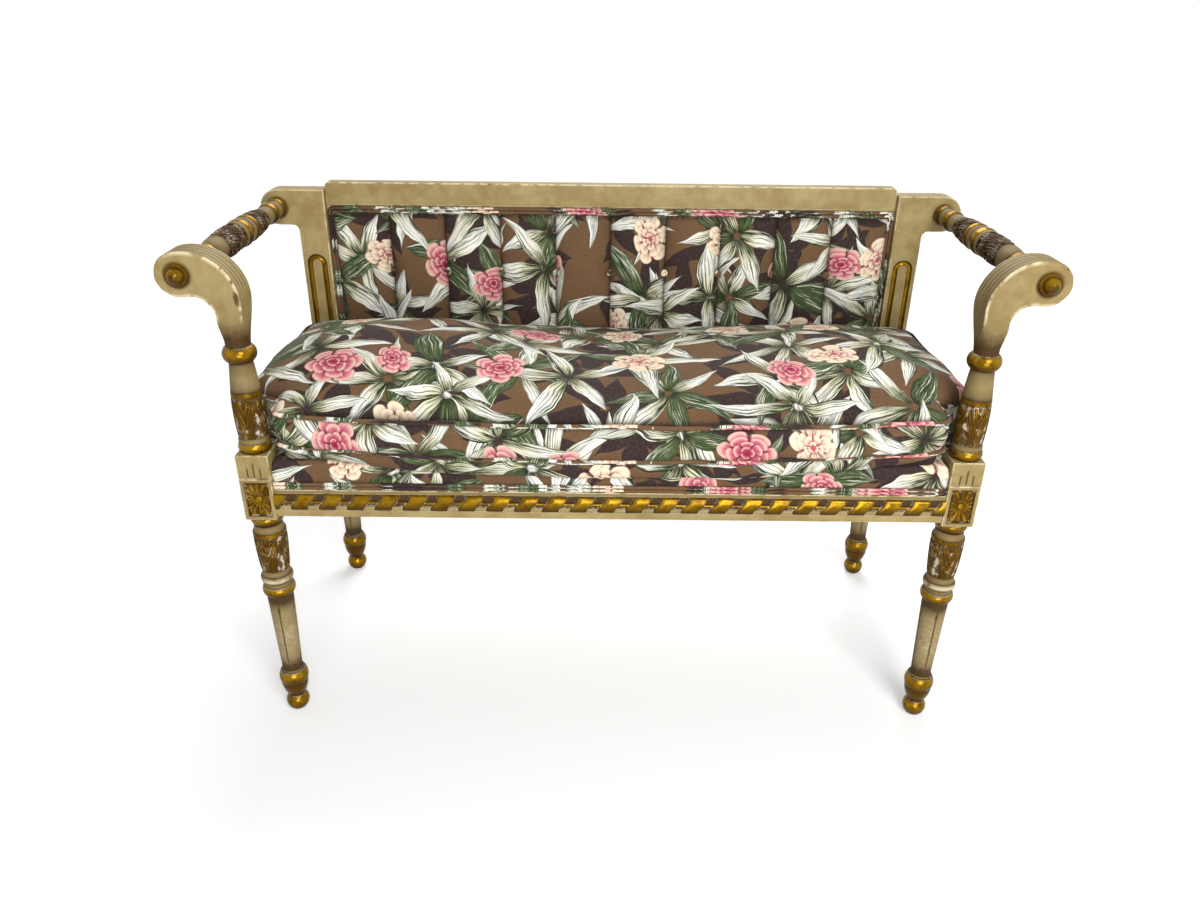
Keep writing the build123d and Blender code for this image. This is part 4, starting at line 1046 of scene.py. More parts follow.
class SETTEE_OT_arm_posts(bpy.types.Operator):
    """Turn the arm posts, with their gouged blocks and carved leaves"""

    bl_idname = "settee.arm_posts"
    bl_label = "Arm posts"

    def execute(self, context):
        for name, side in SIDES:
            shape = Shape()
            turned(shape, (LEG_X, FRONT_Y, BLOCK_TOP_Z), (0, 0, 1), POST_TURNING, side)
            x = side * LEG_X
            low = (x - BLOCK / 2, FRONT_Y - BLOCK / 2, JOINT_Z + JOINT_LINE)
            high = (x + BLOCK / 2, FRONT_Y + BLOCK / 2, BLOCK_TOP_Z)
            rounded_box(shape, low, high, cells=CARVED_POST_CELLS, front=gouged_face(x, JOINT_Z))
            show(shape, f"turned_arm_post_{name}", [f"arm_post_{name}"])
        return {"FINISHED"}


SCROLL_EYE_RADIUS = 29.5
SCROLL_ARCH_RADIUS = 66.0
SCROLL_ARCH_LEAN = math.radians(14)
SCROLL_HOLLOW_RADIUS = 28.0
SCROLL_HOLLOW_LEAN = math.radians(12)
SCROLL_DEPTH = 44.5
NECK_RADIUS = 16.5
SCROLL_ARRIS = 2.2
# The flat front of the scroll runs out in a rounded tongue this far over the neck
TONGUE_END = 52.0
TONGUE_ROUND = 20.0
# Height in which the round neck turns into the flat scroll
NECK_RISE = 62.0
REED_PITCH = 9.0
REED_DEPTH = 1.1
# Along the arch the reeds grow from one place to the other, and so back from its end
REED_START = (62.0, 92.0)
REED_END = (8, 48)
# Chips in the left scroll's paint: place from the post's axis plane, half width and half height
CHIP_PLACES = (
    (484.0, -22.0, 690.0, 3.4, 9.5),
    (497.5, -21.5, 731.0, 1.8, 3.0),
    (486.5, -21.5, 713.0, 1.5, 5.0),
)


def arc(centre, radius, start, end, count, closing=False):
    """Points along an arc from one angle to another; closing crowds them towards the end."""
    share = np.linspace(0, 1, count)
    if closing:
        share = np.sin(share * math.pi / 2)
    angle = start + (end - start) * share
    return np.stack([centre[0] + radius * np.cos(angle), centre[1] + radius * np.sin(angle)], axis=1)


def run_along(points):
    """Distance along an open row of points."""
    step = np.linalg.norm(np.diff(points, axis=0), axis=1)
    return np.concatenate([[0.0], np.cumsum(step)])


def travelled(points):
    """Distance along a closed row of points, with the closing step at the end."""
    return run_along(np.concatenate([points, points[:1]]))


def scroll_edges():
    """The arched and the hollow edge of the right-hand scroll in the plane of its face, row by row."""
    eye = np.array((EYE_X, EYE_Z))
    arch_way = np.array((math.sin(SCROLL_ARCH_LEAN), math.cos(SCROLL_ARCH_LEAN)))
    hollow_way = np.array((math.sin(SCROLL_HOLLOW_LEAN), math.cos(SCROLL_HOLLOW_LEAN)))
    arch_centre = eye - arch_way * (SCROLL_ARCH_RADIUS - SCROLL_EYE_RADIUS)
    hollow_centre = eye - hollow_way * (SCROLL_EYE_RADIUS + SCROLL_HOLLOW_RADIUS)
    quarter = math.pi / 2
    arch_end = quarter - SCROLL_ARCH_LEAN
    hollow_start = -quarter - SCROLL_HOLLOW_LEAN
    tip = (arch_end + hollow_start) / 2
    rise = ease(np.linspace(0, 1, 26), -0.3, 1.3)[:, None]
    rise = (rise - rise[0]) / (rise[-1] - rise[0])
    arch_foot = arch_centre - (SCROLL_ARCH_RADIUS, 0)
    hollow_foot = hollow_centre - (SCROLL_HOLLOW_RADIUS, 0)
    neck_inner = np.array((LEG_X - NECK_RADIUS, POST_HEAD_Z))
    neck_outer = np.array((LEG_X + NECK_RADIUS, POST_HEAD_Z))
    arched = np.concatenate([
        neck_inner + (arch_foot - neck_inner) * rise,
        arc(arch_centre, SCROLL_ARCH_RADIUS, math.pi, arch_end, 44)[1:],
        arc(eye, SCROLL_EYE_RADIUS, arch_end, tip, 34, True)[1:],
    ])
    hollow = np.concatenate([
        neck_outer + (hollow_foot - neck_outer) * rise,
        arc(hollow_centre, SCROLL_HOLLOW_RADIUS, math.pi, quarter - SCROLL_HOLLOW_LEAN, 44)[1:],
        arc(eye, SCROLL_EYE_RADIUS, hollow_start, tip, 34, True)[1:],
    ])
    return arched, hollow


def rounded_section(width, depth, corner, face_count=16, side_count=46, corner_count=6):
    """A rounded rectangle as points across and through: its front, outer side, back and inner side."""
    half = np.array((width / 2, depth / 2))
    core = half - corner
    bend = np.linspace(0, math.pi / 2, corner_count)
    face = np.linspace(-1, 1, face_count)
    side = np.linspace(-1, 1, side_count)
    quarter = np.stack([np.cos(bend), np.sin(bend)], axis=1) * corner
    front = np.stack([face * core[0], np.full(face_count, -half[1])], axis=1)
    outer = np.stack([np.full(side_count, half[0]), side * core[1]], axis=1)
    parts = [
        front,
        (core[0], -core[1]) + np.stack([quarter[:, 1], -quarter[:, 0]], axis=1)[1:-1],
        outer,
        (core[0], core[1]) + quarter[1:-1],
        -front,
        (-core[0], core[1]) + np.stack([-quarter[:, 1], quarter[:, 0]], axis=1)[1:-1],
        -outer,
        (-core[0], -core[1]) - quarter[1:-1],
    ]
    return np.concatenate(parts)


def scroll_rows():
    """Points of the right-hand scroll's rows, with glazed reeds, painted shade and rubbed edges that also
    serve as painted highlight.
    """
    arched, hollow = scroll_edges()
    travel = run_along(arched)
    neck = ease(arched[:, 1], POST_HEAD_Z, POST_HEAD_Z + NECK_RISE)
    rows, scroll_glaze_and_shade, edges = [], [], []
    for inner, outer, run, full in zip(arched, hollow, travel, neck):
        width = max(np.linalg.norm(outer - inner), 0.2)
        way = (outer - inner) / width
        depth = 2 * NECK_RADIUS + (SCROLL_DEPTH - 2 * NECK_RADIUS) * full
        softened = NECK_RADIUS * (1 - full) + SCROLL_ARRIS * full
        corner = min(softened, 0.497 * width, 0.497 * depth)
        section = rounded_section(width, depth, corner)
        on_arch = ease(-section[:, 0], width / 2 - 0.9, width / 2 - 0.2)
        left = travel[-1] - np.array(REED_END)
        reeded = ease(run, *REED_START) * ease(run, *left)
        reed = np.abs(np.sin(section[:, 1] * math.pi / REED_PITCH)) ** 0.55
        flat = ease(np.abs(section[:, 1]), depth / 2 - corner, depth / 2 - corner - 1.5)
        cut = (1 - reed) * on_arch * reeded * flat
        section[:, 0] += REED_DEPTH * cut
        middle = (inner + outer) / 2
        points = np.empty((len(section), 3))
        points[:, 0] = middle[0] + section[:, 0] * way[0]
        points[:, 1] = FRONT_Y + section[:, 1]
        points[:, 2] = middle[1] + section[:, 0] * way[1]
        rows.append(points)
        low = points[:, 2] - POST_HEAD_Z
        # Painted shade on the face beside the rounded tongue, where the flat front turns into the round
        # neck
        rounded_end = np.sqrt(np.clip(1 - ((TONGUE_END - low) / TONGUE_ROUND).clip(0) ** 2, 0, 1))
        outside = ease(np.abs(section[:, 0]) - (width / 2 - 3.0) * rounded_end, -1.0, 2.5)
        facing = ease(-section[:, 1], depth / 2 - 8, depth / 2 - 3)
        beside = 0.16 * outside * facing * ease(low, 78.0, 40.0)
        # Darker towards the foot of the neck
        foot = 0.85 * np.exp(-(low / 25.0) ** 2)
        scroll_glaze_and_shade.append(0.85 * cut + foot + 0.34 * np.exp(-low / 55.0) + beside)
        # Rubbed paint along the arrises, which also stands as their painted highlight
        off_arris = np.hypot(abs(section[:, 0]) - width / 2, abs(section[:, 1]) - depth / 2)
        edges.append(ease(off_arris, 4.0, 1.5) * full)
    return np.array(rows), np.array(scroll_glaze_and_shade), np.array(edges)


class SETTEE_OT_arm_scrolls(bpy.types.Operator):
    """Carve the scrolled arm ends with their reeds, and turn the gilt bosses"""

    bl_idname = "settee.arm_scrolls"
    bl_label = "Arm scrolls"

    def execute(self, context):
        points, glaze, edge = scroll_rows()
        for name, side in SIDES:
            chip = np.zeros(edge.shape)
            if side < 0:
                for x, y, z, wide, tall in CHIP_PLACES:
                    off = (points - (x, FRONT_Y + y, z)) / (wide, wide, tall)
                    chip = np.maximum(chip, ease(np.linalg.norm(off, axis=2), 1.15, 0.85))
            shape = Shape()
            wear = {"glaze": glaze, "edge": edge, "chip": chip}
            index = shape.grid(points * (side, 1, 1), around=True, finish="cream_eye", **wear)
            shape.cap(index[0, :-1], "cream_eye")
            show(shape, f"arm_scroll_carved_{name}", [f"arm_scroll_{name}"], sharp=50)
            boss = Shape()
            turned(boss, (EYE_X, SCROLL_LOW[1], EYE_Z), (0, -1, 0), BOSS_TURNING, side, 72)
            show(boss, f"gilt_boss_{name}", [f"scroll_boss_{name}"])
        return {"FINISHED"}


class SETTEE_OT_arm_spindles(bpy.types.Operator):
    """Turn the arm spindles"""

    bl_idname = "settee.arm_spindles"
    bl_label = "Arm spindles"

    def execute(self, context):
        for name, side in SIDES:
            shape = Shape()
            turned(shape, (EYE_X, SCROLL_HIGH[1], EYE_Z), (0, 1, 0), SPINDLE_TURNING, side)
            show(shape, f"turned_spindle_{name}", [f"arm_spindle_{name}"])
        return {"FINISHED"}


def spread(points, gap):
    """A closed outline with points added so that none are further apart than a gap."""
    points = np.asarray(points, float)
    parts = []
    for start, end in zip(points, np.roll(points, -1, axis=0)):
        count = max(1, int(np.linalg.norm(end - start) / gap))
        parts.append(start + (end - start) * np.linspace(0, 1, count, endpoint=False)[:, None])
    return np.concatenate(parts)


def outline_normals(outline):
    """Outward unit normals of a closed outline that runs anticlockwise."""
    along = np.roll(outline, -1, axis=0) - np.roll(outline, 1, axis=0)
    normal = np.stack([along[:, 1], -along[:, 0]], axis=1)
    return normal / np.maximum(np.linalg.norm(normal, axis=1, keepdims=True), 1e-9)


def sawn_board(shape, outline, front_y, rear_y, radius, finish):
    """A board sawn to an outline in the XZ plane, with softened edges."""
    normal = outline_normals(outline)
    bend = np.linspace(0, math.pi / 2, 5)
    rows, edges = [], []
    for y, way in ((front_y, 1), (rear_y, -1)):
        for turn in bend[::way]:
            flat = outline - normal * radius * (1 - math.sin(turn))
            depth = np.full(len(flat), y + way * radius * (1 - math.cos(turn)))
            rows.append(np.stack([flat[:, 0], depth, flat[:, 1]], axis=1))
            edges.append(np.full(len(flat), math.sin(2 * turn)))
    index = shape.grid(np.array(rows), around=True, finish=finish, edge=np.array(edges))
    shape.close(index, finish, finish)


GROOVE_HALF = 12.2
GROOVE_RADIUS = 5.2
GROOVE_SINK = 2.6
GROOVE_TOP_DROP = 106.0
GROOVE_FOOT_Z = 470.0
EAR_RADIUS = 29.0
EAR_FILLET = 10.0
UPRIGHT_HALF = 23.75
UPRIGHT_ARRIS = 2.2
CREST_CORNER = 8.0
CREST_ARRIS = 2.6
BOARD_CREASE = 30.0
# Tongues of the back rails, which hold the back board: height, places of their faces and arris
RAIL_TONGUE = 22.0
RAIL_TONGUE_FRONT = 7.0
RAIL_TONGUE_REAR = 16.0
RAIL_TONGUE_ARRIS = 0.6


def upright_outline():
    """The right-hand upright's sawn outline: a straight stile with an ear turned outward at its top."""
    ear_low = EYE_Z - EAR_RADIUS
    fillet_x = LEG_X + UPRIGHT_HALF + EAR_FILLET
    points = np.concatenate([
        [(LEG_X - UPRIGHT_HALF, UPRIGHT_HIGH[2]), (LEG_X - UPRIGHT_HALF, UPRIGHT_LOW[2])],
        [(LEG_X + UPRIGHT_HALF, UPRIGHT_LOW[2])],
        arc((fillet_x, ear_low - EAR_FILLET), EAR_FILLET, math.pi, math.pi / 2, 9),
        arc((EYE_X, EYE_Z), EAR_RADIUS, -math.pi / 2, math.pi / 2, 33),
    ])
    return spread(points, 9.0)


def groove_cutter():
    """A round bar bent to an arch, sunk into the upright's face to cut its gilt groove."""
    crown_z = UPRIGHT_HIGH[2] - GROOVE_TOP_DROP - GROOVE_RADIUS - GROOVE_HALF
    arch = arc((LEG_X, crown_z), GROOVE_HALF, math.pi, 0, 25)
    ends = np.array([(LEG_X - GROOVE_HALF, GROOVE_FOOT_Z), (LEG_X + GROOVE_HALF, GROOVE_FOOT_Z)])
    line = np.concatenate([ends[:1], arch, ends[1:]])
    y = UPRIGHT_LOW[1] + GROOVE_SINK - GROOVE_RADIUS
    return np.stack([line[:, 0], np.full(len(line), y), line[:, 1]], axis=1)


def rod(shape, path, radius, finish, out, closed=False, columns=14, **wear):
    """A round cord along a path; out gives the way from the path to its outer side at each point, and the
    side away from it gets painted shade.
    """
    path = np.asarray(path, float)
    ahead = np.roll(path, -1, axis=0) - np.roll(path, 1, axis=0)
    if not closed:
        ahead[0] = path[1] - path[0]
        ahead[-1] = path[-1] - path[-2]
    ahead /= np.linalg.norm(ahead, axis=1, keepdims=True)
    out = np.broadcast_to(np.asarray(out, float), path.shape)
    side = np.cross(ahead, out)
    side /= np.linalg.norm(side, axis=1, keepdims=True)
    lift = np.cross(side, ahead)
    turn = np.linspace(0, math.tau, columns, endpoint=False)
    ring = np.cos(turn)[None, :, None] * lift[:, None] + np.sin(turn)[None, :, None] * side[:, None]
    girth = np.linspace(0, math.tau * radius, columns + 1)
    travel = travelled(path)[: len(path) + int(closed)]
    place = np.stack(np.meshgrid(travel, girth, indexing="ij"), axis=2)
    points = path[:, None] + radius * ring
    # Painted shade on the half of the cord that turns away from its outer side
    wear = {"glaze": 0.9 * ease(np.cos(turn), 0.30, -0.40)[None, :], **wear}
    index = shape.grid(points, around=True, loop=closed, finish=finish, print_at=place, **wear)
    if not closed:
        shape.close(index, finish, finish)


class SETTEE_OT_back_frame(bpy.types.Operator):
    """Saw the back uprights with their gilt grooves, the crest rail and the lower back rail"""

    bl_idname = "settee.back_frame"
    bl_label = "Back frame"

    def execute(self, context):
        for name, side in SIDES:
            nodes = [f"back_upright_{name}"]
            shape = Shape()
            outline = upright_outline()[::side] * (side, 1)
            sawn_board(shape, outline, UPRIGHT_LOW[1], UPRIGHT_HIGH[1], UPRIGHT_ARRIS, "cream_eye")
            upright = show(shape, f"sawn_upright_{name}", nodes, sharp=BOARD_CREASE)
            cutter = Shape()
            path = groove_cutter() * (side, 1, 1)
            rod(cutter, path, GROOVE_RADIUS, "gold", (0, -1, 0), columns=20, glaze=0.45)
            self.cut(upright, cutter)
        self.crest()
        self.lower_rail()
        return {"FINISHED"}

    def tongue(self, shape, low, high):
        """The tongue of a back rail, between two corners whose depth is set by the joint."""
        front = (low[0], low[1] + RAIL_TONGUE_FRONT, low[2])
        rear = (high[0], low[1] + RAIL_TONGUE_REAR, high[2])
        rounded_box(shape, front, rear, RAIL_TONGUE_ARRIS, finish="cream_across")

    def lower_rail(self):
        low, high = LOWER_RAIL_LOW, LOWER_RAIL_HIGH
        shoulder = high[2] - RAIL_TONGUE
        shape = Shape()
        rounded_box(shape, low, (high[0], high[1], shoulder), finish="cream_across")
        self.tongue(shape, (low[0], low[1], shoulder - 1), high)
        show(shape, "sawn_lower_back_rail", ["back_lower_rail"])

    def cut(self, upright, cutter):
        tool = bpy.data.objects.new("groove_tool", cutter.mesh("groove_tool"))
        bpy.context.scene.collection.objects.link(tool)
        change = upright.modifiers.new("groove", "BOOLEAN")
        change.operation = "DIFFERENCE"
        change.solver = "EXACT"
        change.material_mode = "TRANSFER"
        change.object = tool
        bpy.context.view_layer.update()
        ready = upright.evaluated_get(bpy.context.evaluated_depsgraph_get())
        mesh = bpy.data.meshes.new_from_object(ready)
        mesh.name = upright.data.name
        upright.modifiers.clear()
        upright.data = mesh
        mesh.shade_smooth()
        mesh.set_sharp_from_angle(angle=math.radians(BOARD_CREASE))
        bpy.data.objects.remove(tool)

    def crest(self):
        foot = CREST_LOW[2] + RAIL_TONGUE
        right, top = CREST_HIGH[0] - CREST_CORNER, CREST_HIGH[2] - CREST_CORNER
        outline = np.concatenate([
            [(-CREST_HIGH[0], foot), (CREST_HIGH[0], foot)],
            arc((right, top), CREST_CORNER, 0, math.pi / 2, 10),
            arc((-right, top), CREST_CORNER, math.pi / 2, math.pi, 10),
        ])
        outline = spread(outline, 14.0)
        shape = Shape()
        sawn_board(shape, outline, CREST_LOW[1], CREST_HIGH[1], CREST_ARRIS, "cream_across")
        self.tongue(shape, (-CREST_HIGH[0], CREST_LOW[1], CREST_LOW[2]), (CREST_HIGH[0], 0.0, foot + 1))
        show(shape, "sawn_crest_rail", ["crest_rail"], sharp=BOARD_CREASE)


FILLET_ARRIS = 1.2
MOULDING_BED = 4.0
RIBBON_PITCH = 39.0
RIBBON_SHARE = 0.60
RIBBON_LEAN = 11.0
RIBBON_BULGE = 5.9
STICK_HALF = 3.4
STICK_BULGE = 3.0
DOME_BULGE = 2.4
MOULDING_RELIEF = 6.0


class SETTEE_OT_rails(bpy.types.Operator):
    """Plane the seat rails and carve the ribbon-and-stick moulding of the front one"""

    bl_idname = "settee.rails"
    bl_label = "Seat rails"

    def execute(self, context):
        self.front_rail()
        self.moulding()
        low, high = node_box("rear_rail")
        shape = Shape()
        rounded_box(shape, low, high, cells=(40, 2, 3), finish="cream_across")
        show(shape, "planed_rear_rail", ["rear_rail"])
        for name, _ in SIDES:
            low, high = node_box(f"side_rail_{name}")
            shape = Shape()
            rounded_box(shape, low, high, cells=(2, 20, 3), finish="cream_deep")
            show(shape, f"planed_side_rail_{name}", [f"side_rail_{name}"])
        return {"FINISHED"}

    def front_rail(self):
        shape = Shape()
        low, high = FRONT_RAIL_LOW, FRONT_RAIL_HIGH
        bed_y = low[1] + MOULDING_BED
        below = (high[0], high[1], MOULDING_LOW[2])
        above = (low[0], low[1], MOULDING_HIGH[2])
        bed_low = (low[0], bed_y, MOULDING_LOW[2] - 1)
        bed_high = (high[0], high[1], MOULDING_HIGH[2] + 1)
        rounded_box(shape, low, below, FILLET_ARRIS, (60, 2, 3), "cream_across")
        rounded_box(shape, above, high, FILLET_ARRIS, (60, 2, 3), "cream_across", glaze=0.35)
        rounded_box(shape, bed_low, bed_high, 0.3, finish="cream_across")
        show(shape, "planed_front_rail", ["front_rail"])

    def moulding(self):
        half = RAIL_INNER_X
        low_z, high_z = MOULDING_LOW[2], MOULDING_HIGH[2]
        middle = (low_z + high_z) / 2
        tall = (high_z - low_z) / 2
        count = round(2 * half / RIBBON_PITCH)
        pitch = 2 * half / count
        xs = np.linspace(-half, half, int(2 * half / 0.8))
        zs = np.linspace(low_z, high_z, 34)
        x, z = np.meshgrid(xs, zs, indexing="ij")
        up = (z - middle) / tall
        swing = RIBBON_LEAN * (0.55 * up + 0.16 * np.sin(up * math.pi))
        phase = np.mod((x - swing) / pitch + 0.5, 1.0) - 0.5
        off = (np.abs(phase) - RIBBON_SHARE / 2) * pitch
        ribbon = ease(off, 0.9, -0.5)
        crown = np.sqrt(np.clip(1 - up ** 2, 0, 1))
        tip = 1 - 0.16 * ease(-phase * pitch, RIBBON_SHARE * pitch * 0.2, RIBBON_SHARE * pitch * 0.5)
        stick = np.sqrt(np.clip(1 - ((z - middle) / STICK_HALF) ** 2, 0, 1))
        dome = np.sqrt(np.clip(1 - ((up + 0.66) / 0.36) ** 2, 0, 1)) * ease(off, 0.0, 3.0)
        between = STICK_BULGE * stick + DOME_BULGE * dome + 0.4 * crown
        height = ribbon * RIBBON_BULGE * crown ** 0.8 * tip + (1 - ribbon) * between
        rows = np.stack([x, MOULDING_LOW[1] + MOULDING_RELIEF - height, z], axis=2)
        gold = np.maximum(ribbon, ease(stick, 0.25, 0.5))
        # Painted shade in the recess above the stick and in a band below it
        hollow = 1.15 * np.exp(-((up + 0.32) / 0.12) ** 2)
        recess_shade = (1 - ribbon) * (1.2 * ease(up, 0.05, 0.24) + hollow)
        # Painted shade where the ribbons turn away at their edges and ends, and over their lower half
        ribbon_shade = 0.55 * ribbon * ease(off, -4.5, 0.0) + 0.45 * ribbon * ease(np.abs(up), 0.72, 1.0)
        ribbon_shade = ribbon_shade + 0.55 * ribbon * ease(up, -0.05, -0.80)
        rim = (up + 0.66) ** 2 / 0.36 ** 2 + np.clip(3.0 - off, 0, None) ** 2 / 9.0
        chalk = 0.9 * np.exp(-((off - 1.0) / 0.8) ** 2) * (0.35 + 0.65 * ease(up, 0.5, 0.0))
        dome_rim = 0.7 * np.exp(-((rim - 1.0) / 0.35) ** 2) * (1 - ribbon) * ease(up, -0.9, -0.6)
        chalk = np.maximum(chalk, dome_rim)
        cells = np.where(gold[:-1, :-1] > 0.5, "gold", "cream_across")
        shape = Shape()
        index = shape.grid(rows, finish=cells, glaze=np.maximum(recess_shade, ribbon_shade), chalk=chalk)
        rear = MOULDING_HIGH[1]
        for edge in (index[:, 0], index[:, -1][::-1]):
            front = np.concatenate(shape.points)[edge]
            back = front * (1, 0, 1) + (0, rear, 0)
            shape.grid(np.stack([front, back]), finish="cream_across", glaze=0.7)
        show(shape, "carved_ribbon_moulding", ["ribbon_moulding"], sharp=55)


# Where on the bolt of printed cloth each piece is cut
CUT_FROM = {
    "cushion_top": (700.0, 900.0),
    "boxing": (150.0, 2100.0),
    "belly": (90.0, 3300.0),
    "underside": (2600.0, 1200.0),
    "seat_side": (430.0, 4000.0),
    "seat_top": (1500.0, 5000.0),
    "back_pad": (2100.0, 160.0),
    "outside_back": (4000.0, 0.0),
}


def sewn(shape, rows, places, **wear):
    """Printed cloth that goes all round, from rows of points and of places in the print."""
    wear = {name: np.array(values) for name, values in wear.items()}
    return shape.grid(np.array(rows), around=True, finish="print", print_at=np.array(places), **wear)


def whole_plan(half):
    """A closed plan from its right half, which runs from the middle of the front to that of the back."""
    return np.concatenate([half, half[::-1][1:-1] * (-1, 1)])


def plan_sides(loop, corner_places, counts):
    """Front, right, back and left sides of a plan between four corner places, evenly sampled."""
    marks = [int(np.argmin(np.linalg.norm(loop - place, axis=1))) for place in corner_places]
    found = []
    for start, end, count in zip(marks, marks[1:] + marks[:1], counts):
        stretch = np.arange(start, end + 1) if end > start else np.r_[start:len(loop), 0:end + 1]
        line = loop[stretch]
        travel = run_along(line)
        even = np.linspace(0, travel[-1], count)
        found.append(np.stack([np.interp(even, travel, line[:, axis]) for axis in (0, 1)], axis=1))
    return found


def plan_net(loop, corner_places, across, along):
    """Net of plan points by share across (first) and share from front to back (second)."""
    front, right, back, left = plan_sides(loop, corner_places, (across, along, across, along))
    back = back[::-1]
    left = left[::-1]
    u = np.linspace(0, 1, across)[:, None, None]
    v = np.linspace(0, 1, along)[None, :, None]
    ruled = (1 - v) * front[:, None] + v * back[:, None] + (1 - u) * left[None] + u * right[None]
    front_ends = (1 - u) * (1 - v) * front[0] + u * (1 - v) * front[-1]
    return ruled - (front_ends + (1 - u) * v * back[0] + u * v * back[-1])


def net_border(net):
    """Indices of a net's border, anticlockwise seen from above."""
    across, along = net.shape[:2]
    front = [(number, 0) for number in range(across - 1)]
    right = [(across - 1, number) for number in range(along - 1)]
    back = [(number, along - 1) for number in range(across - 1, 0, -1)]
    left = [(0, number) for number in range(along - 1, 0, -1)]
    return tuple(np.array(front + right + back + left).T)


def rounded_line(points, radii, step=3.0):
    """An open line through corner points with each corner rounded, sampled along its length."""
    points = np.asarray(points, float)
    line = [points[0]]
    for before, corner, after, radius in zip(points, points[1:], points[2:], radii):
        back = (before - corner) / np.linalg.norm(before - corner)
        ahead = (after - corner) / np.linalg.norm(after - corner)
        half = math.acos(np.clip(back @ ahead, -1, 1)) / 2
        reach = radius / math.tan(half)
        middle = corner + (back + ahead) / np.linalg.norm(back + ahead) * radius / math.sin(half)
        first = corner + back * reach - middle
        last = corner + ahead * reach - middle
        turn = math.atan2(first[0] * last[1] - first[1] * last[0], first @ last)
        for share in np.linspace(0, 1, max(4, int(abs(turn) * radius / step))):
            cos, sin = math.cos(turn * share), math.sin(turn * share)
            line.append(middle + (first[0] * cos - first[1] * sin, first[0] * sin + first[1] * cos))
    line.append(points[-1])
    filled = [line[0]]
    for start, end in zip(line, line[1:]):
        count = max(1, int(np.linalg.norm(end - start) / step))
        filled.extend(start + (end - start) * number / count for number in range(1, count + 1))
    return np.array(filled)


# Cushion plan, shared with the frame
TONGUE_HALF = 462.25
CUSHION_HALF = 515.2
CUSHION_FRONT_Y = FRONT_Y - 22.0
CUSHION_REAR_Y = PAD_LOW[1] - 10.0
SHOULDER_Y = FRONT_Y + 32.25
SHOULDER_SLOPE = 30.0
CUSHION_FOOT_Z = CUSHION_LOW[2]
CUSHION_NET = (172, 74)
TOP_SEAM_Z = 524.0
LOW_SEAM_Z = 471.0
SEAM_WAVE = 1.6
# How much less the right hump of the filling rises than the left one
RIGHT_SLUMP = 10.0
# The underside hangs over the front of the seat: its drop under the seam, and its section as places out
# from the seam, shares of the drop and shares of the way back up to where it rests
BELLY_DROP = 26.0
BELLY_HALF = 466.0
BELLY_PROFILE = (
    (0.0, 0.0, 0.0), (2.4, 0.08, 0.0), (4.2, 0.20, 0.0), (5.2, 0.35, 0.0),
    (5.4, 0.50, 0.0), (5.0, 0.66, 0.0), (4.0, 0.81, 0.0), (2.3, 0.93, 0.0),
    (0.2, 0.99, 0.0), (-1.8, 1.0, 0.02), (-3.4, 1.0, 0.14), (-4.5, 1.0, 0.38),
    (-5.1, 1.0, 0.64), (-6.2, 1.0, 0.86), (-8.5, 1.0, 0.97), (-13.0, 1.0, 1.0),
)


def cushion_plan():
    """The cushion's plan: a tongue between the posts and wider shoulders under the arms."""
    corners = [
        (0, CUSHION_FRONT_Y), (TONGUE_HALF, CUSHION_FRONT_Y), (TONGUE_HALF, SHOULDER_Y),
        (CUSHION_HALF, SHOULDER_Y + SHOULDER_SLOPE), (CUSHION_HALF, CUSHION_REAR_Y), (0, CUSHION_REAR_Y),
    ]
    half = rounded_line(corners, (18.0, 7.0, 30.0, 34.0))
    places = [
        (-TONGUE_HALF, CUSHION_FRONT_Y), (TONGUE_HALF, CUSHION_FRONT_Y),
        (CUSHION_HALF, CUSHION_REAR_Y), (-CUSHION_HALF, CUSHION_REAR_Y),
    ]
    return plan_net(whole_plan(half), places, *CUSHION_NET)


# The filling's pressure on the cover, the ease the cover is cut with, and how far it may settle
FILL_PRESSURE = 3.0
COVER_EASE = -0.012
SETTLE_FRAMES = 20
SETTLE_CAP = 5.0


def settle(piece, rest):
    """Let the cushion's cover settle on its filling by Cloth, held along its seams and where it rests."""
    mesh = piece.data
    count = len(mesh.vertices)
    start = np.empty(count * 3)
    mesh.vertices.foreach_get("co", start)
    start = start.reshape(-1, 3)
    uses = np.zeros(count, int)
    corners = np.empty(len(mesh.loops), int)
    mesh.loops.foreach_get("vertex_index", corners)
    np.add.at(uses, corners, 1)
    seam = (uses < 4) | (start[:, 2] / MM < rest)
    held = piece.vertex_groups.new(name="held")
    held.add(np.flatnonzero(seam).tolist(), 1.0, "REPLACE")
    cloth = piece.modifiers.new("settle", "CLOTH")
    cloth.settings.quality = 4
    cloth.settings.mass = 0.3
    cloth.settings.tension_stiffness = 20.0
    cloth.settings.bending_stiffness = 1.5
    cloth.settings.shrink_min = COVER_EASE
    cloth.settings.use_pressure = True
    cloth.settings.uniform_pressure_force = FILL_PRESSURE
    cloth.settings.vertex_group_mass = held.name
    cloth.settings.effector_weights.gravity = 0.0
    cloth.collision_settings.use_collision = False
    scene = bpy.context.scene
    for number in range(1, SETTLE_FRAMES + 1):
        scene.frame_set(number)
    ready = piece.evaluated_get(bpy.context.evaluated_depsgraph_get())
    end = np.empty(count * 3)
    ready.data.vertices.foreach_get("co", end)
    move = end.reshape(-1, 3) - start
    far = np.linalg.norm(move, axis=1, keepdims=True)
    cap = SETTLE_CAP * MM
    move = move * np.tanh(far / cap) * cap / np.maximum(far, 1e-9)
    piece.modifiers.remove(cloth)
    piece.vertex_groups.remove(held)
    scene.frame_set(1)
    mesh.vertices.foreach_set("co", (start + move).ravel())
    mesh.update()


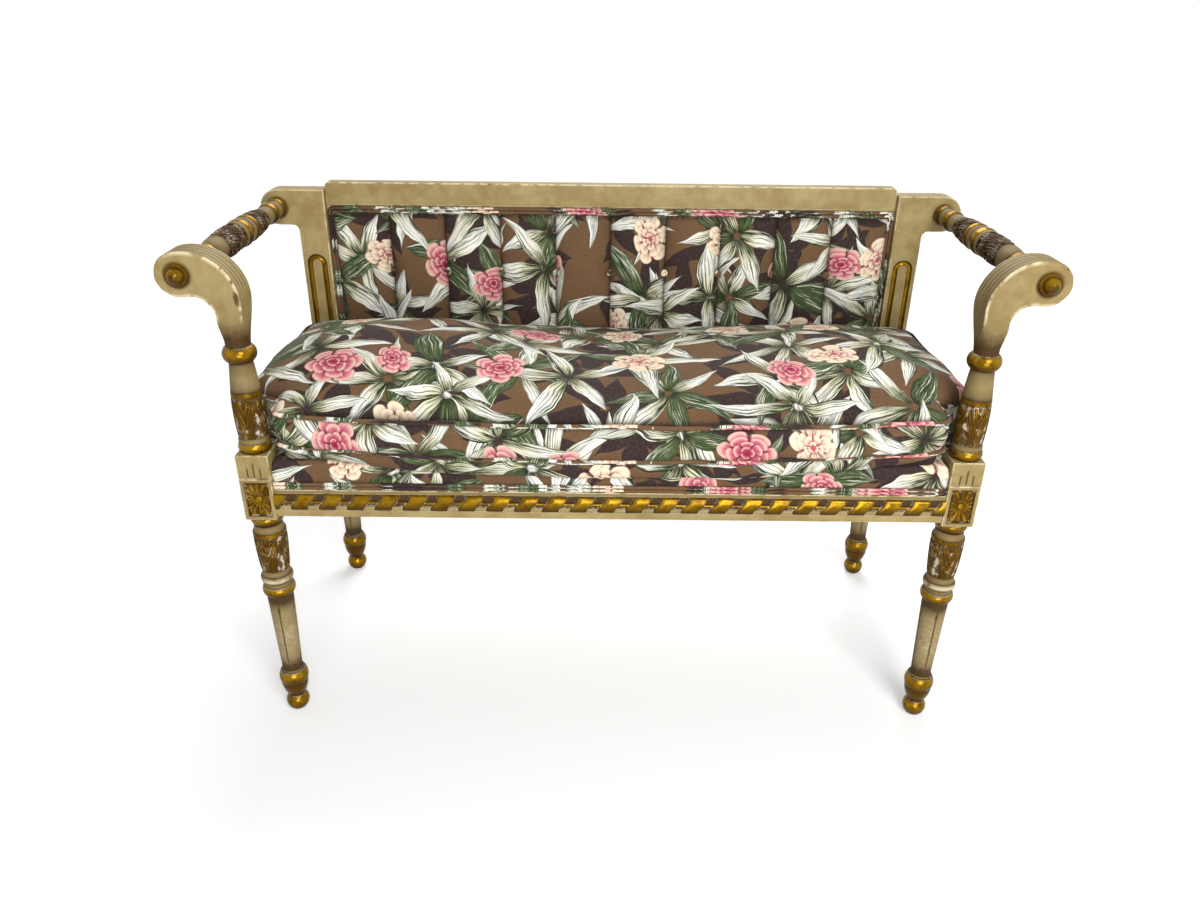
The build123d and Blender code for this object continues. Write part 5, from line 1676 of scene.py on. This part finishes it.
class SETTEE_OT_cushion(bpy.types.Operator):
    """Sew the loose cushion with its crowned top, boxing, soft underside and piped seams"""

    bl_idname = "settee.cushion"
    bl_label = "Loose cushion"

    def execute(self, context):
        sizes = context.scene.settee_sizes
        net = cushion_plan()
        border = net_border(net)
        edge = net[border]
        normal = outline_normals(edge)
        travel = travelled(edge)
        wave = ripple(travel[:-1], 210.0, 0.7)
        frontness = ease(edge[:, 1], CUSHION_FRONT_Y + 90, CUSHION_FRONT_Y)
        across = np.abs(edge[:, 0]) / CUSHION_HALF
        rearness = ease(edge[:, 1], CUSHION_REAR_Y - 150, CUSHION_REAR_Y)
        top_sag = frontness * (-8.5 + 15.0 * across ** 2.2)
        low_sag = frontness * (-9.0 + 26.0 * across ** 2.2)
        top_seam = TOP_SEAM_Z + SEAM_WAVE * wave + top_sag - 7.0 * rearness * (1 - across ** 2)
        low_seam = LOW_SEAM_Z + SEAM_WAVE * np.roll(wave, 17) + low_sag
        shape = Shape()
        self.top(shape, net, border, top_seam, sizes)
        self.boxing(shape, edge, normal, travel, low_seam, top_seam)
        self.underside(shape, edge, normal, travel, low_seam, frontness)
        piece = show(shape, "loose_cushion", ["seat_cushion"], CUSHION_BODY, sharp=60)
        settle(piece, CUSHION_FOOT_Z + 1.0)
        for name, seam in (("top", top_seam), ("bottom", low_seam)):
            cord = Shape()
            out = np.column_stack([normal, np.zeros(len(normal))])
            path = np.column_stack([edge + normal * (sizes.cord - 0.6), seam])
            rod(cord, path, sizes.cord, "bias", out, closed=True, columns=16)
            nodes = [f"cushion_piping_{name}"]
            show(cord, f"sewn_piping_{name}", nodes, CUSHION_BODY, CORD_CREASE)
        return {"FINISHED"}

    def top(self, shape, net, border, seam, sizes):
        u = np.linspace(-1, 1, net.shape[0])[:, None]
        v = np.linspace(0, 1, net.shape[1])[None, :]
        x, y = net[..., 0], net[..., 1]
        rim = np.zeros(net.shape[:2])
        rim[border] = seam
        fill = self.filled(rim)
        hill = np.clip(np.sin(math.pi * v ** 0.80), 0, 1) ** 0.80
        ends = np.clip(1 - np.abs(u) ** 8, 0, 1) ** 0.42
        hump = np.where(u < 0, sizes.hump, sizes.hump - RIGHT_SLUMP)
        swell = sizes.crown + (hump - sizes.crown) * np.exp(-((np.abs(u) - 0.62) / 0.40) ** 2)
        dents = 2.2 * np.sin(x / 71.0 + y / 48.0) * np.sin(x / 113.0 - y / 37.0 + 1.0)
        soft = dents + 1.4 * np.sin(x / 39.0 + y / 81.0)
        near = np.minimum(np.minimum(v, 1 - v) * 400.0, (1 - np.abs(u)) * 515.0)
        gather = ripple(x * 0.8 + y * 1.1, 34.0, 0.3)
        pucker = np.exp(-near / 16.0) * ease(near, 0, 5) * gather * 1.5
        z = fill + hill * ends * (swell + soft) + pucker
        points = np.stack([x, y, z], axis=2)
        stretch = y + 0.35 * (z - fill)
        place = np.stack([x, stretch], axis=2) + CUT_FROM["cushion_top"]
        # Painted shade along the seam at the piping
        shape.grid(points, finish="print", print_at=place, glaze=0.8 * np.exp(-near / 3.0))

    def filled(self, rim):
        """Height of the border carried over the whole net."""
        across, along = rim.shape
        u = np.linspace(0, 1, across)[:, None]
        v = np.linspace(0, 1, along)[None, :]
        ruled = (1 - v) * rim[:, :1] + v * rim[:, -1:] + (1 - u) * rim[:1] + u * rim[-1:]
        left_ends = (1 - u) * ((1 - v) * rim[0, 0] + v * rim[0, -1])
        right_ends = u * ((1 - v) * rim[-1, 0] + v * rim[-1, -1])
        return ruled - (left_ends + right_ends)

    def boxing(self, shape, edge, normal, travel, low, high):
        rows, places, seams = [], [], []
        closed = np.append(np.arange(len(edge)), 0)
        for share in (1 - np.cos(np.linspace(0, math.pi, 17))) / 2:
            crease = 0.9 * ripple(travel[:-1], 47.0, 1.1) * math.sin(math.pi * share)
            bulge = 4.6 * math.sin(math.pi * share) ** 0.8 + crease
            height = low + (high - low) * share
            rows.append(np.column_stack([edge + normal * bulge[:, None], height]))
            places.append(np.column_stack([travel, height[closed]]) + CUT_FROM["boxing"])
            # Painted shade at the top and the bottom seam
            seams.append(np.full(len(edge), 0.85 * math.exp(-min(share, 1 - share) * 52.0 / 3.5)))
        sewn(shape, rows, places, glaze=seams)

    def underside(self, shape, edge, normal, travel, low, frontness):
        closed = np.append(np.arange(len(edge)), 0)
        rows, places, seams = [], [], []
        rest = CUSHION_FOOT_Z + 0.3
        drop = BELLY_DROP * np.clip(1 - (np.abs(edge[:, 0]) / BELLY_HALF) ** 5, 0.05, 1)
        hem = rest + (low - drop - rest) * frontness
        crease = 0.8 * ripple(travel[:-1], 63.0, 2.0) * frontness
        run = np.zeros(len(edge))
        for out, fall, back in BELLY_PROFILE:
            height = low + (hem - low) * fall
            height = height + (rest - height) * back - crease * math.sin(math.pi * fall)
            flat = edge + normal * (out * (0.6 + 0.4 * frontness))[:, None]
            row = np.column_stack([flat, height])
            run = run + (np.linalg.norm(row - rows[-1], axis=1) if rows else 0.0)
            rows.append(row)
            places.append(np.column_stack([travel, -run[closed]]) + CUT_FROM["belly"])
            # Painted shade near the seam and where the cloth turns back under the cushion
            seams.append(np.full(len(edge), 0.85 * math.exp(-fall * 12.0) + 0.9 * back))
        index = sewn(shape, rows, places, glaze=seams)
        shape.cap(index[-1, :-1], "print", rows[-1][:, :2] + CUT_FROM["underside"])


# Covered cord of the seat's and the back's double welts, and the air round the seat's corners
WELT_RADIUS = 2.7
WELT_PITCH = 5.7
CORD_CREASE = 80.0
SEAT_GAP = 0.75
SEAT_CURVE = 10.0
WEB_WIDTH = 50.0
WEB_THICK = 1.3


class SETTEE_OT_seat(bpy.types.Operator):
    """Cover the stuffed seat, sew its double welt and stretch the hessian and webbing under it"""

    bl_idname = "settee.seat"
    bl_label = "Seat"

    def execute(self, context):
        self.deck()
        self.welts()
        self.under()
        return {"FINISHED"}

    def plan(self, inset):
        """Half the seat's plan, with its corners cut out round the posts and the uprights."""
        front, rear = COVER_LOW[1] + inset, COVER_HIGH[1] - inset
        side = COVER_HIGH[0] - inset
        gap = SEAT_GAP + inset
        post_x, post_y = RAIL_INNER_X - gap, FRONT_Y + BLOCK / 2 + gap
        stile_x = LEG_X - UPRIGHT_HALF - gap
        stile_y = REAR_Y - BLOCK / 2 - gap
        return [
            (0, front), (post_x, front), (post_x, post_y), (side, post_y),
            (side, stile_y), (stile_x, stile_y), (stile_x, rear), (0, rear),
        ]

    def deck(self):
        half = rounded_line(self.plan(0.0), (3.0, 2.0, 3.0, 3.0, 2.0, 3.0), 5.0)
        loop = whole_plan(half)
        normal = outline_normals(loop)
        travel = travelled(loop)
        low, high = COVER_LOW[2], COVER_HIGH[2]
        curve = SEAT_CURVE
        shape = Shape()
        rows, places = [], []
        profile = [(0.0, low), (-0.6, low + 14), (-1.4, (low + high) / 2), (-0.8, high - curve - 4)]
        profile += [
            (curve * (1 - math.cos(turn)), high - curve + curve * math.sin(turn))
            for turn in np.linspace(0, math.pi / 2, 7)
        ]
        profile += [(curve + 8.0, high), (curve + 30.0, high)]
        middle = (loop.max(axis=0) + loop.min(axis=0)) / 2
        extent = (loop.max(axis=0) - loop.min(axis=0)) / 2
        run = 0.0
        for (inset, z), (last_inset, last_z) in zip(profile, [profile[0], *profile]):
            run += math.hypot(inset - last_inset, z - last_z)
            slack = math.sin(math.pi * np.clip((z - low) / (high - low), 0, 1))
            pull = 0.5 * ripple(travel[:-1], 52.0, 0.4) * slack
            flat = middle + (loop - middle) * (1 - inset / extent) + normal * pull[:, None]
            rows.append(np.column_stack([flat, np.full(len(loop), z)]))
            places.append(np.column_stack([travel, np.full_like(travel, run)]) + CUT_FROM["seat_side"])
        index = sewn(shape, rows, places)
        shape.cap(index[-1, :-1], "print", rows[-1][:, :2] + CUT_FROM["seat_top"])
        piece = show(shape, "covered_seat", ["seat_cover", "seat_stuffing"], sharp=50)

    def welts(self):
        low, high = node_box("seat_welt")
        front = (low[1] + WELT_RADIUS, RAIL_INNER_X - SEAT_GAP)
        rear = (high[1] - WELT_RADIUS, LEG_X - UPRIGHT_HALF - SEAT_GAP)
        side = high[0] - WELT_RADIUS
        ys = np.linspace(FRONT_Y + BLOCK / 2 + SEAT_GAP, REAR_Y - BLOCK / 2 - SEAT_GAP, 60)
        shape = Shape()
        for z in (low[2] + WELT_RADIUS, high[2] - WELT_RADIUS):
            for (y, half), out in ((front, (0, -1, 0)), (rear, (0, 1, 0))):
                xs = np.linspace(-half, half, 150)
                wobble = 0.25 * ripple(xs, 90.0, z)
                path = np.column_stack([xs, np.full_like(xs, y), z + wobble])
                rod(shape, path, WELT_RADIUS, "bias", out)
            for sign in (-1, 1):
                path = np.column_stack([np.full_like(ys, sign * side), ys, np.full_like(ys, z)])
                rod(shape, path, WELT_RADIUS, "bias", (sign, 0, 0))
        show(shape, "sewn_seat_welt", ["seat_welt"], sharp=CORD_CREASE)

    def under(self):
        low, high = node_box("seat_hessian")
        half = rounded_line(self.plan(2.0), (2.0,) * 6, 8.0)
        loop = whole_plan(half)
        shape = Shape()
        start = shape.add(np.column_stack([loop, np.full(len(loop), (low[2] + high[2]) / 2)]))
        shape.cap(np.arange(start, start + len(loop)), "hessian")
        piece = show(shape, "stretched_hessian", ["seat_hessian"])
        self.webs("seat_webs_front_to_back", 8, 0, 4)
        self.webs("seat_webs_across", 4, 1, 8)

    def webs(self, node, count, axis, crossings):
        """Straps one way, woven over and under those the other way."""
        low, high = node_box(node)
        middle = (low[2] + high[2]) / 2
        shape = Shape()
        centres = np.linspace(low[axis] + WEB_WIDTH / 2, high[axis] - WEB_WIDTH / 2, count)
        runs = np.linspace(low[1 - axis], high[1 - axis], 90)
        for number, centre in enumerate(centres):
            other = (runs - runs[0]) / (runs[-1] - runs[0]) * crossings
            weave = 0.55 * np.sin(other * math.pi + math.pi * (number + axis))
            cross = np.array([(-1, -1), (1, -1), (1, 1), (-1, 1)]) * (WEB_WIDTH / 2, WEB_THICK / 2)
            points = np.empty((len(runs), 4, 3))
            points[..., axis] = centre + cross[None, :, 0]
            points[..., 1 - axis] = runs[:, None]
            points[..., 2] = middle + weave[:, None] + cross[None, :, 1]
            index = shape.grid(points, around=True, finish="webbing")
            shape.close(index, "webbing", "webbing")
        show(shape, f"woven_{node}", [node])


# Cloth folded away in each pleat of the back
PLEAT_TAKE_UP = 47.0
# Buttons show the print smaller, each cut this far from the last one and at this height on the bolt
BUTTON_PRINT = 3.0
BUTTON_CUTS = (83.0, 6000.0)


class SETTEE_OT_back(bpy.types.Operator):
    """Upholster the back: pleated pad, covered buttons, double welt and the cloth behind"""

    bl_idname = "settee.back"
    bl_label = "Upholstered back"

    def execute(self, context):
        sizes = context.scene.settee_sizes
        self.pad(sizes.channels, sizes.puff)
        self.buttons(sizes.channels)
        self.welts()
        self.outside()
        return {"FINISHED"}

    def pad(self, channels, puff):
        half, low_z, high_z = PAD_HIGH[0], PAD_LOW[2], PAD_HIGH[2]
        pitch = 2 * half / channels
        button_z = (BUTTONS_LOW[2] + BUTTONS_HIGH[2]) / 2
        fine = (1 - np.cos(np.linspace(0, math.pi, 25)[:-1])) / 2
        xs = np.concatenate([-half + pitch * (number + fine) for number in range(channels)] + [[half]])
        zs = np.linspace(low_z, high_z, 74)
        x, z = np.meshgrid(xs, zs, indexing="ij")
        channel = np.clip(np.floor((x + half) / pitch), 0, channels - 1)
        part = (x + half) / pitch - channel
        pleat = np.round((x + half) / pitch)
        inner = ((pleat > 0.5) & (pleat < channels - 0.5)).astype(float)
        from_pleat = np.minimum(part, 1 - part) * pitch
        tied = np.exp(-((z - button_z) / 62.0) ** 2)
        valley = np.exp(-from_pleat / (5.0 + 11.0 * tied)) * inner
        dimple = np.exp(-((from_pleat / 17.0) ** 2 + ((z - button_z) / 17.0) ** 2)) * inner
        depth = puff * (0.50 + 0.60 * tied) * valley + 3.6 * dimple
        fold = 1.1 * np.exp(-((part - 0.93) * pitch / 2.2) ** 2) * (channel < channels - 1)
        edge = np.minimum(np.minimum(half - np.abs(x), z - low_z), high_z - z)
        inward = 1 - np.clip(edge / 14.0, 0, 1)
        rim = 11.0 * (1 - np.sqrt(np.clip(1 - inward ** 2, 0, 1)))
        soft = 0.9 * np.sin(z / 23.0 + channel * 2.3) * np.sin(math.pi * part)
        y = PAD_LOW[1] + 1.0 + depth + rim - fold + soft
        y = np.minimum(y, PAD_HIGH[1] - 1.0)
        points = np.stack([x, y, z], axis=2)
        shape = Shape()
        place = np.stack([x + channel * PLEAT_TAKE_UP, z + 0.4 * depth], axis=2) + CUT_FROM["back_pad"]
        # Painted shade in the pleat valleys, in the button dimples and along the pad's edges
        crease = inner * (0.72 * np.exp(-from_pleat / 2.2) + 0.38 * np.exp(-from_pleat / 9.0))
        crease = crease + 0.5 * dimple ** 3 + 0.8 * np.exp(-edge / 3.0)
        self.channel_grids(shape, points, place, crease, channels, len(fine))
        border = net_border(points)
        front = points[border]
        back = front.copy()
        back[:, 1] = PAD_HIGH[1] - 0.3
        flat = np.vstack([front, front[:1]])[:, [0, 2]]
        index = sewn(shape, [front, back], [flat, flat + 9.0])
        shape.cap(index[-1, :-1], "print")
        piece = show(shape, "pleated_back_pad", ["back_pad"], sharp=55)

    def channel_grids(self, shape, points, place, crease, channels, columns):
        """One grid for each channel, so that the print jumps where the cloth is folded into a pleat."""
        for number in range(channels):
            span = slice(number * columns, (number + 1) * columns + 1)
            here = place[span].copy()
            here[-1, :, 0] = here[-2, :, 0] + (points[span][-1, :, 0] - points[span][-2, :, 0])
            shape.grid(points[span], finish="print", print_at=here, glaze=crease[span])

    def buttons(self, channels):
        half = PAD_HIGH[0]
        pitch = 2 * half / channels
        z = (BUTTONS_LOW[2] + BUTTONS_HIGH[2]) / 2
        radius = (BUTTONS_HIGH[2] - BUTTONS_LOW[2]) / 2
        dome = BUTTONS_HIGH[1] - BUTTONS_LOW[1]
        shape = Shape()
        turn = np.linspace(0, math.tau, 40, endpoint=False)
        for number in range(1, channels):
            x = -half + pitch * number
            rows, places = [], []
            for share in np.linspace(0, 1, 10):
                reach = radius * math.cos(share * math.pi / 2) ** 0.7
                y = BUTTONS_HIGH[1] - 0.6 - dome * math.sin(share * math.pi / 2)
                fold = 0.22 * np.cos(turn * 9 + number) * (1 - share)
                wide = x + (reach + fold) * np.cos(turn)
                tall = z + (reach + fold) * np.sin(turn)
                rows.append(np.column_stack([wide, np.full_like(turn, y), tall]))
                spot = np.column_stack([reach * np.cos(turn), reach * np.sin(turn)])
                cut_at = (number * BUTTON_CUTS[0], BUTTON_CUTS[1])
                places.append(np.vstack([spot, spot[:1]]) * BUTTON_PRINT + cut_at)
            # Painted shade round each button's rim, where it sinks into the pad
            dark = np.repeat(np.linspace(0.9, -1.4, 10).clip(0, 1)[:, None], len(turn), axis=1)
            index = sewn(shape, rows, places, glaze=dark)
            shape.cap(index[0, :-1], "print")
        show(shape, "covered_buttons", ["back_buttons"], sharp=70)

    def welts(self):
        low, high = node_box("back_welt")
        shape = Shape()
        for ring in range(2):
            out = high[0] - WELT_RADIUS - ring * WELT_PITCH
            top = high[2] - WELT_RADIUS - ring * WELT_PITCH
            corner = 3.0 + (1 - ring) * WELT_PITCH
            corners = [(-out, low[2]), (-out, top), (out, top), (out, low[2])]
            line = rounded_line(corners, (corner, corner), 4.0)
            y = np.full(len(line), (low[1] + high[1]) / 2)
            path = np.column_stack([line[:, 0], y, line[:, 1]])
            rod(shape, path, WELT_RADIUS, "bias", (0, -1, 0))
        show(shape, "sewn_back_welt", ["back_welt"], sharp=CORD_CREASE)

    def outside(self):
        low, high = OUTSIDE_LOW, OUTSIDE_HIGH
        xs = np.linspace(low[0], high[0], 120)
        zs = np.linspace(low[2], high[2], 40)
        x, z = np.meshgrid(xs, zs, indexing="ij")
        edge = np.minimum(high[0] - np.abs(x), np.minimum(z - low[2], high[2] - z))
        gather = 0.35 * ripple(x, 64.0, 0.5) * ease(edge, 40, 0) * ease(edge, 0, 8)
        puff = 1.4 * ease(edge, 0, 60) + gather
        points = np.stack([x, low[1] + 0.2 + puff, z], axis=2)
        shape = Shape()
        place = np.stack([-x, z], axis=2) + CUT_FROM["outside_back"]
        shape.grid(points, finish="print", print_at=place)
        piece = show(shape, "outside_back_cloth", ["outside_back"])


INNER_FINISHES = {
    "corner_braces": "beech",
    "rail_dowels": "beech",
    "post_dowels": "beech",
    "back_dowels": "beech",
    "back_board": "ply",
    "corner_screws": "steel",
}


class SETTEE_OT_inner_pieces(bpy.types.Operator):
    """Give the braces, screws, dowels and back board their finishes"""

    bl_idname = "settee.inner_pieces"
    bl_label = "Inner pieces"

    def execute(self, context):
        for node, finish in INNER_FINISHES.items():
            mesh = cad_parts[node].data
            mesh.materials.clear()
            mesh.materials.append(finish_material(finish))
        return {"FINISHED"}


# Camera that took the picture, in millimetres and degrees, and its focal length in picture widths
CAMERA_PLACE = (-19.5, FRONT_Y - 1175.5, 1050.3)
CAMERA_PITCH = 26.32
CAMERA_YAW = 0.21
CAMERA_ROLL = 0.69
CAMERA_FOCAL = 930.8 / 1200
SENSOR_WIDTH = 36.0
CAMERA_REACH = 100.0
# Soft lamps: name, place, target, size in metres and power in watts
LAMPS = (
    ("key", (0.9, -2.5, 2.3), (0.0, 0.0, 0.45), 1.3, 62.0),
    ("fill", (0.3, -2.7, 0.6), (0.0, 0.0, 0.25), 1.4, 42.0),
    ("rear", (0.2, 1.5, 2.6), (0.0, 0.0, 0.5), 1.8, 48.0),
)
# What the white surroundings give as light and as the backdrop that is seen
WORLD_LIGHT = 0.23
WORLD_SEEN = 1.0
FLOOR_HALF = 30.0
# How far the floor is lifted to white where it is seen, near the settee and far off, and its own tone
# for the light that it throws back
FLOOR_LIFT_NEAR = 0.30
FLOOR_LIFT_FAR = 0.50
FLOOR_BOUNCE = (0.40, 0.40, 0.40)


class SETTEE_OT_stage(bpy.types.Operator):
    """Lay the pale floor, hang the soft lights and set the camera"""

    bl_idname = "settee.stage"
    bl_label = "Stage"

    def execute(self, context):
        scene = context.scene
        scene.view_settings.view_transform = "Standard"
        self.floor(scene)
        self.world(scene)
        for lamp in LAMPS:
            self.lamp(scene, *lamp)
        self.camera(scene)
        return {"FINISHED"}

    def floor(self, scene):
        mesh = bpy.data.meshes.new("floor")
        corners = [(-1, -1), (1, -1), (1, 1), (-1, 1)]
        mesh.from_pydata([(x * FLOOR_HALF, y * FLOOR_HALF, 0) for x, y in corners], [], [(0, 1, 2, 3)])
        graph = Graph(bpy.data.materials.new("pale_floor"))
        soft = graph.noise(graph.place(), 3.0)
        tone = graph.mix(soft * 0.04, (0.93, 0.93, 0.93), (0.90, 0.90, 0.90))
        seen = graph.seen()
        x, y, _ = graph.split(graph.place())
        far = ((x * x + y * y) ** 0.5).step(0.9, 4.0)
        lift = seen * (FLOOR_LIFT_NEAR + FLOOR_LIFT_FAR * far)
        lifted = graph.join(lift, lift, lift)
        tone = graph.mix(seen, FLOOR_BOUNCE, tone)
        glow = {"Emission_Color": lifted, "Emission_Strength": 1.0}
        mesh.materials.append(graph.finish(Base_Color=tone, Roughness=0.9, **glow))
        floor = bpy.data.objects.new("floor", mesh)
        scene.collection.objects.link(floor)

    def world(self, scene):
        graph = Graph(bpy.data.worlds.new("studio"))
        scene.world = graph.holder
        values = {"Value": graph.seen(), "To Min": WORLD_LIGHT, "To Max": WORLD_SEEN}
        backdrop = graph.tree.nodes["Background"].inputs
        graph.feed(backdrop["Color"], (1.0, 1.0, 1.0))
        graph.feed(backdrop["Strength"], graph.node("ShaderNodeMapRange", {}, values))

    def lamp(self, scene, name, place, target, size, power):
        light = bpy.data.lights.new(name, "AREA")
        light.size = size
        light.energy = power
        lamp = bpy.data.objects.new(name, light)
        lamp.location = place
        lamp.rotation_euler = (Vector(target) - Vector(place)).to_track_quat("-Z", "Y").to_euler()
        scene.collection.objects.link(lamp)

    def camera(self, scene):
        pitch, yaw, roll = (math.radians(angle) for angle in (CAMERA_PITCH, CAMERA_YAW, CAMERA_ROLL))
        ahead = Vector((math.sin(yaw) * math.cos(pitch), math.cos(yaw) * math.cos(pitch), -math.sin(pitch)))
        right = Vector((math.cos(yaw), -math.sin(yaw), 0.0))
        up = right.cross(ahead)
        tilted_right = math.cos(roll) * right + math.sin(roll) * up
        tilted_up = -math.sin(roll) * right + math.cos(roll) * up
        view = Matrix((tilted_right, tilted_up, -ahead)).transposed().to_4x4()
        view.translation = Vector(CAMERA_PLACE) * MM
        data = bpy.data.cameras.new("camera")
        data.sensor_width = SENSOR_WIDTH
        data.lens = CAMERA_FOCAL * SENSOR_WIDTH
        data.clip_end = CAMERA_REACH
        camera = bpy.data.objects.new("camera", data)
        scene.collection.objects.link(camera)
        camera.matrix_world = view
        scene.camera = camera


OPERATORS = (
    SETTEE_OT_legs,
    SETTEE_OT_arm_posts,
    SETTEE_OT_arm_scrolls,
    SETTEE_OT_arm_spindles,
    SETTEE_OT_back_frame,
    SETTEE_OT_rails,
    SETTEE_OT_seat,
    SETTEE_OT_back,
    SETTEE_OT_cushion,
    SETTEE_OT_inner_pieces,
    SETTEE_OT_stage,
)


class SETTEE_PT_panel(bpy.types.Panel):
    """Lists the settee's pieces and settings"""

    bl_idname = "SETTEE_PT_panel"
    bl_label = "Settee"
    bl_space_type = "VIEW_3D"
    bl_region_type = "UI"
    bl_category = "Settee"

    def draw(self, context):
        scene = context.scene
        for group in (scene.settee_finishes, scene.settee_print, scene.settee_sizes):
            box = self.layout.box()
            for name in group.bl_rna.properties.keys():
                if name not in ("rna_type", "name"):
                    box.prop(group, name)
        for operator in OPERATORS:
            self.layout.operator(operator.bl_idname)


CLASSES = (SetteeFinishes, SetteePrint, SetteeSizes, *OPERATORS, SETTEE_PT_panel)


def register():
    for cls in CLASSES:
        bpy.utils.register_class(cls)
    bpy.types.Scene.settee_finishes = PointerProperty(type=SetteeFinishes)
    bpy.types.Scene.settee_print = PointerProperty(type=SetteePrint)
    bpy.types.Scene.settee_sizes = PointerProperty(type=SetteeSizes)


def unregister():
    del bpy.types.Scene.settee_sizes
    del bpy.types.Scene.settee_print
    del bpy.types.Scene.settee_finishes
    for cls in reversed(CLASSES):
        bpy.utils.unregister_class(cls)


def main():
    register()
    bpy.ops.settee.legs()
    bpy.ops.settee.arm_posts()
    bpy.ops.settee.arm_scrolls()
    bpy.ops.settee.arm_spindles()
    bpy.ops.settee.back_frame()
    bpy.ops.settee.rails()
    bpy.ops.settee.seat()
    bpy.ops.settee.back()
    bpy.ops.settee.cushion()
    bpy.ops.settee.inner_pieces()
    bpy.ops.settee.stage()


if __name__ == "__main__":
    main()
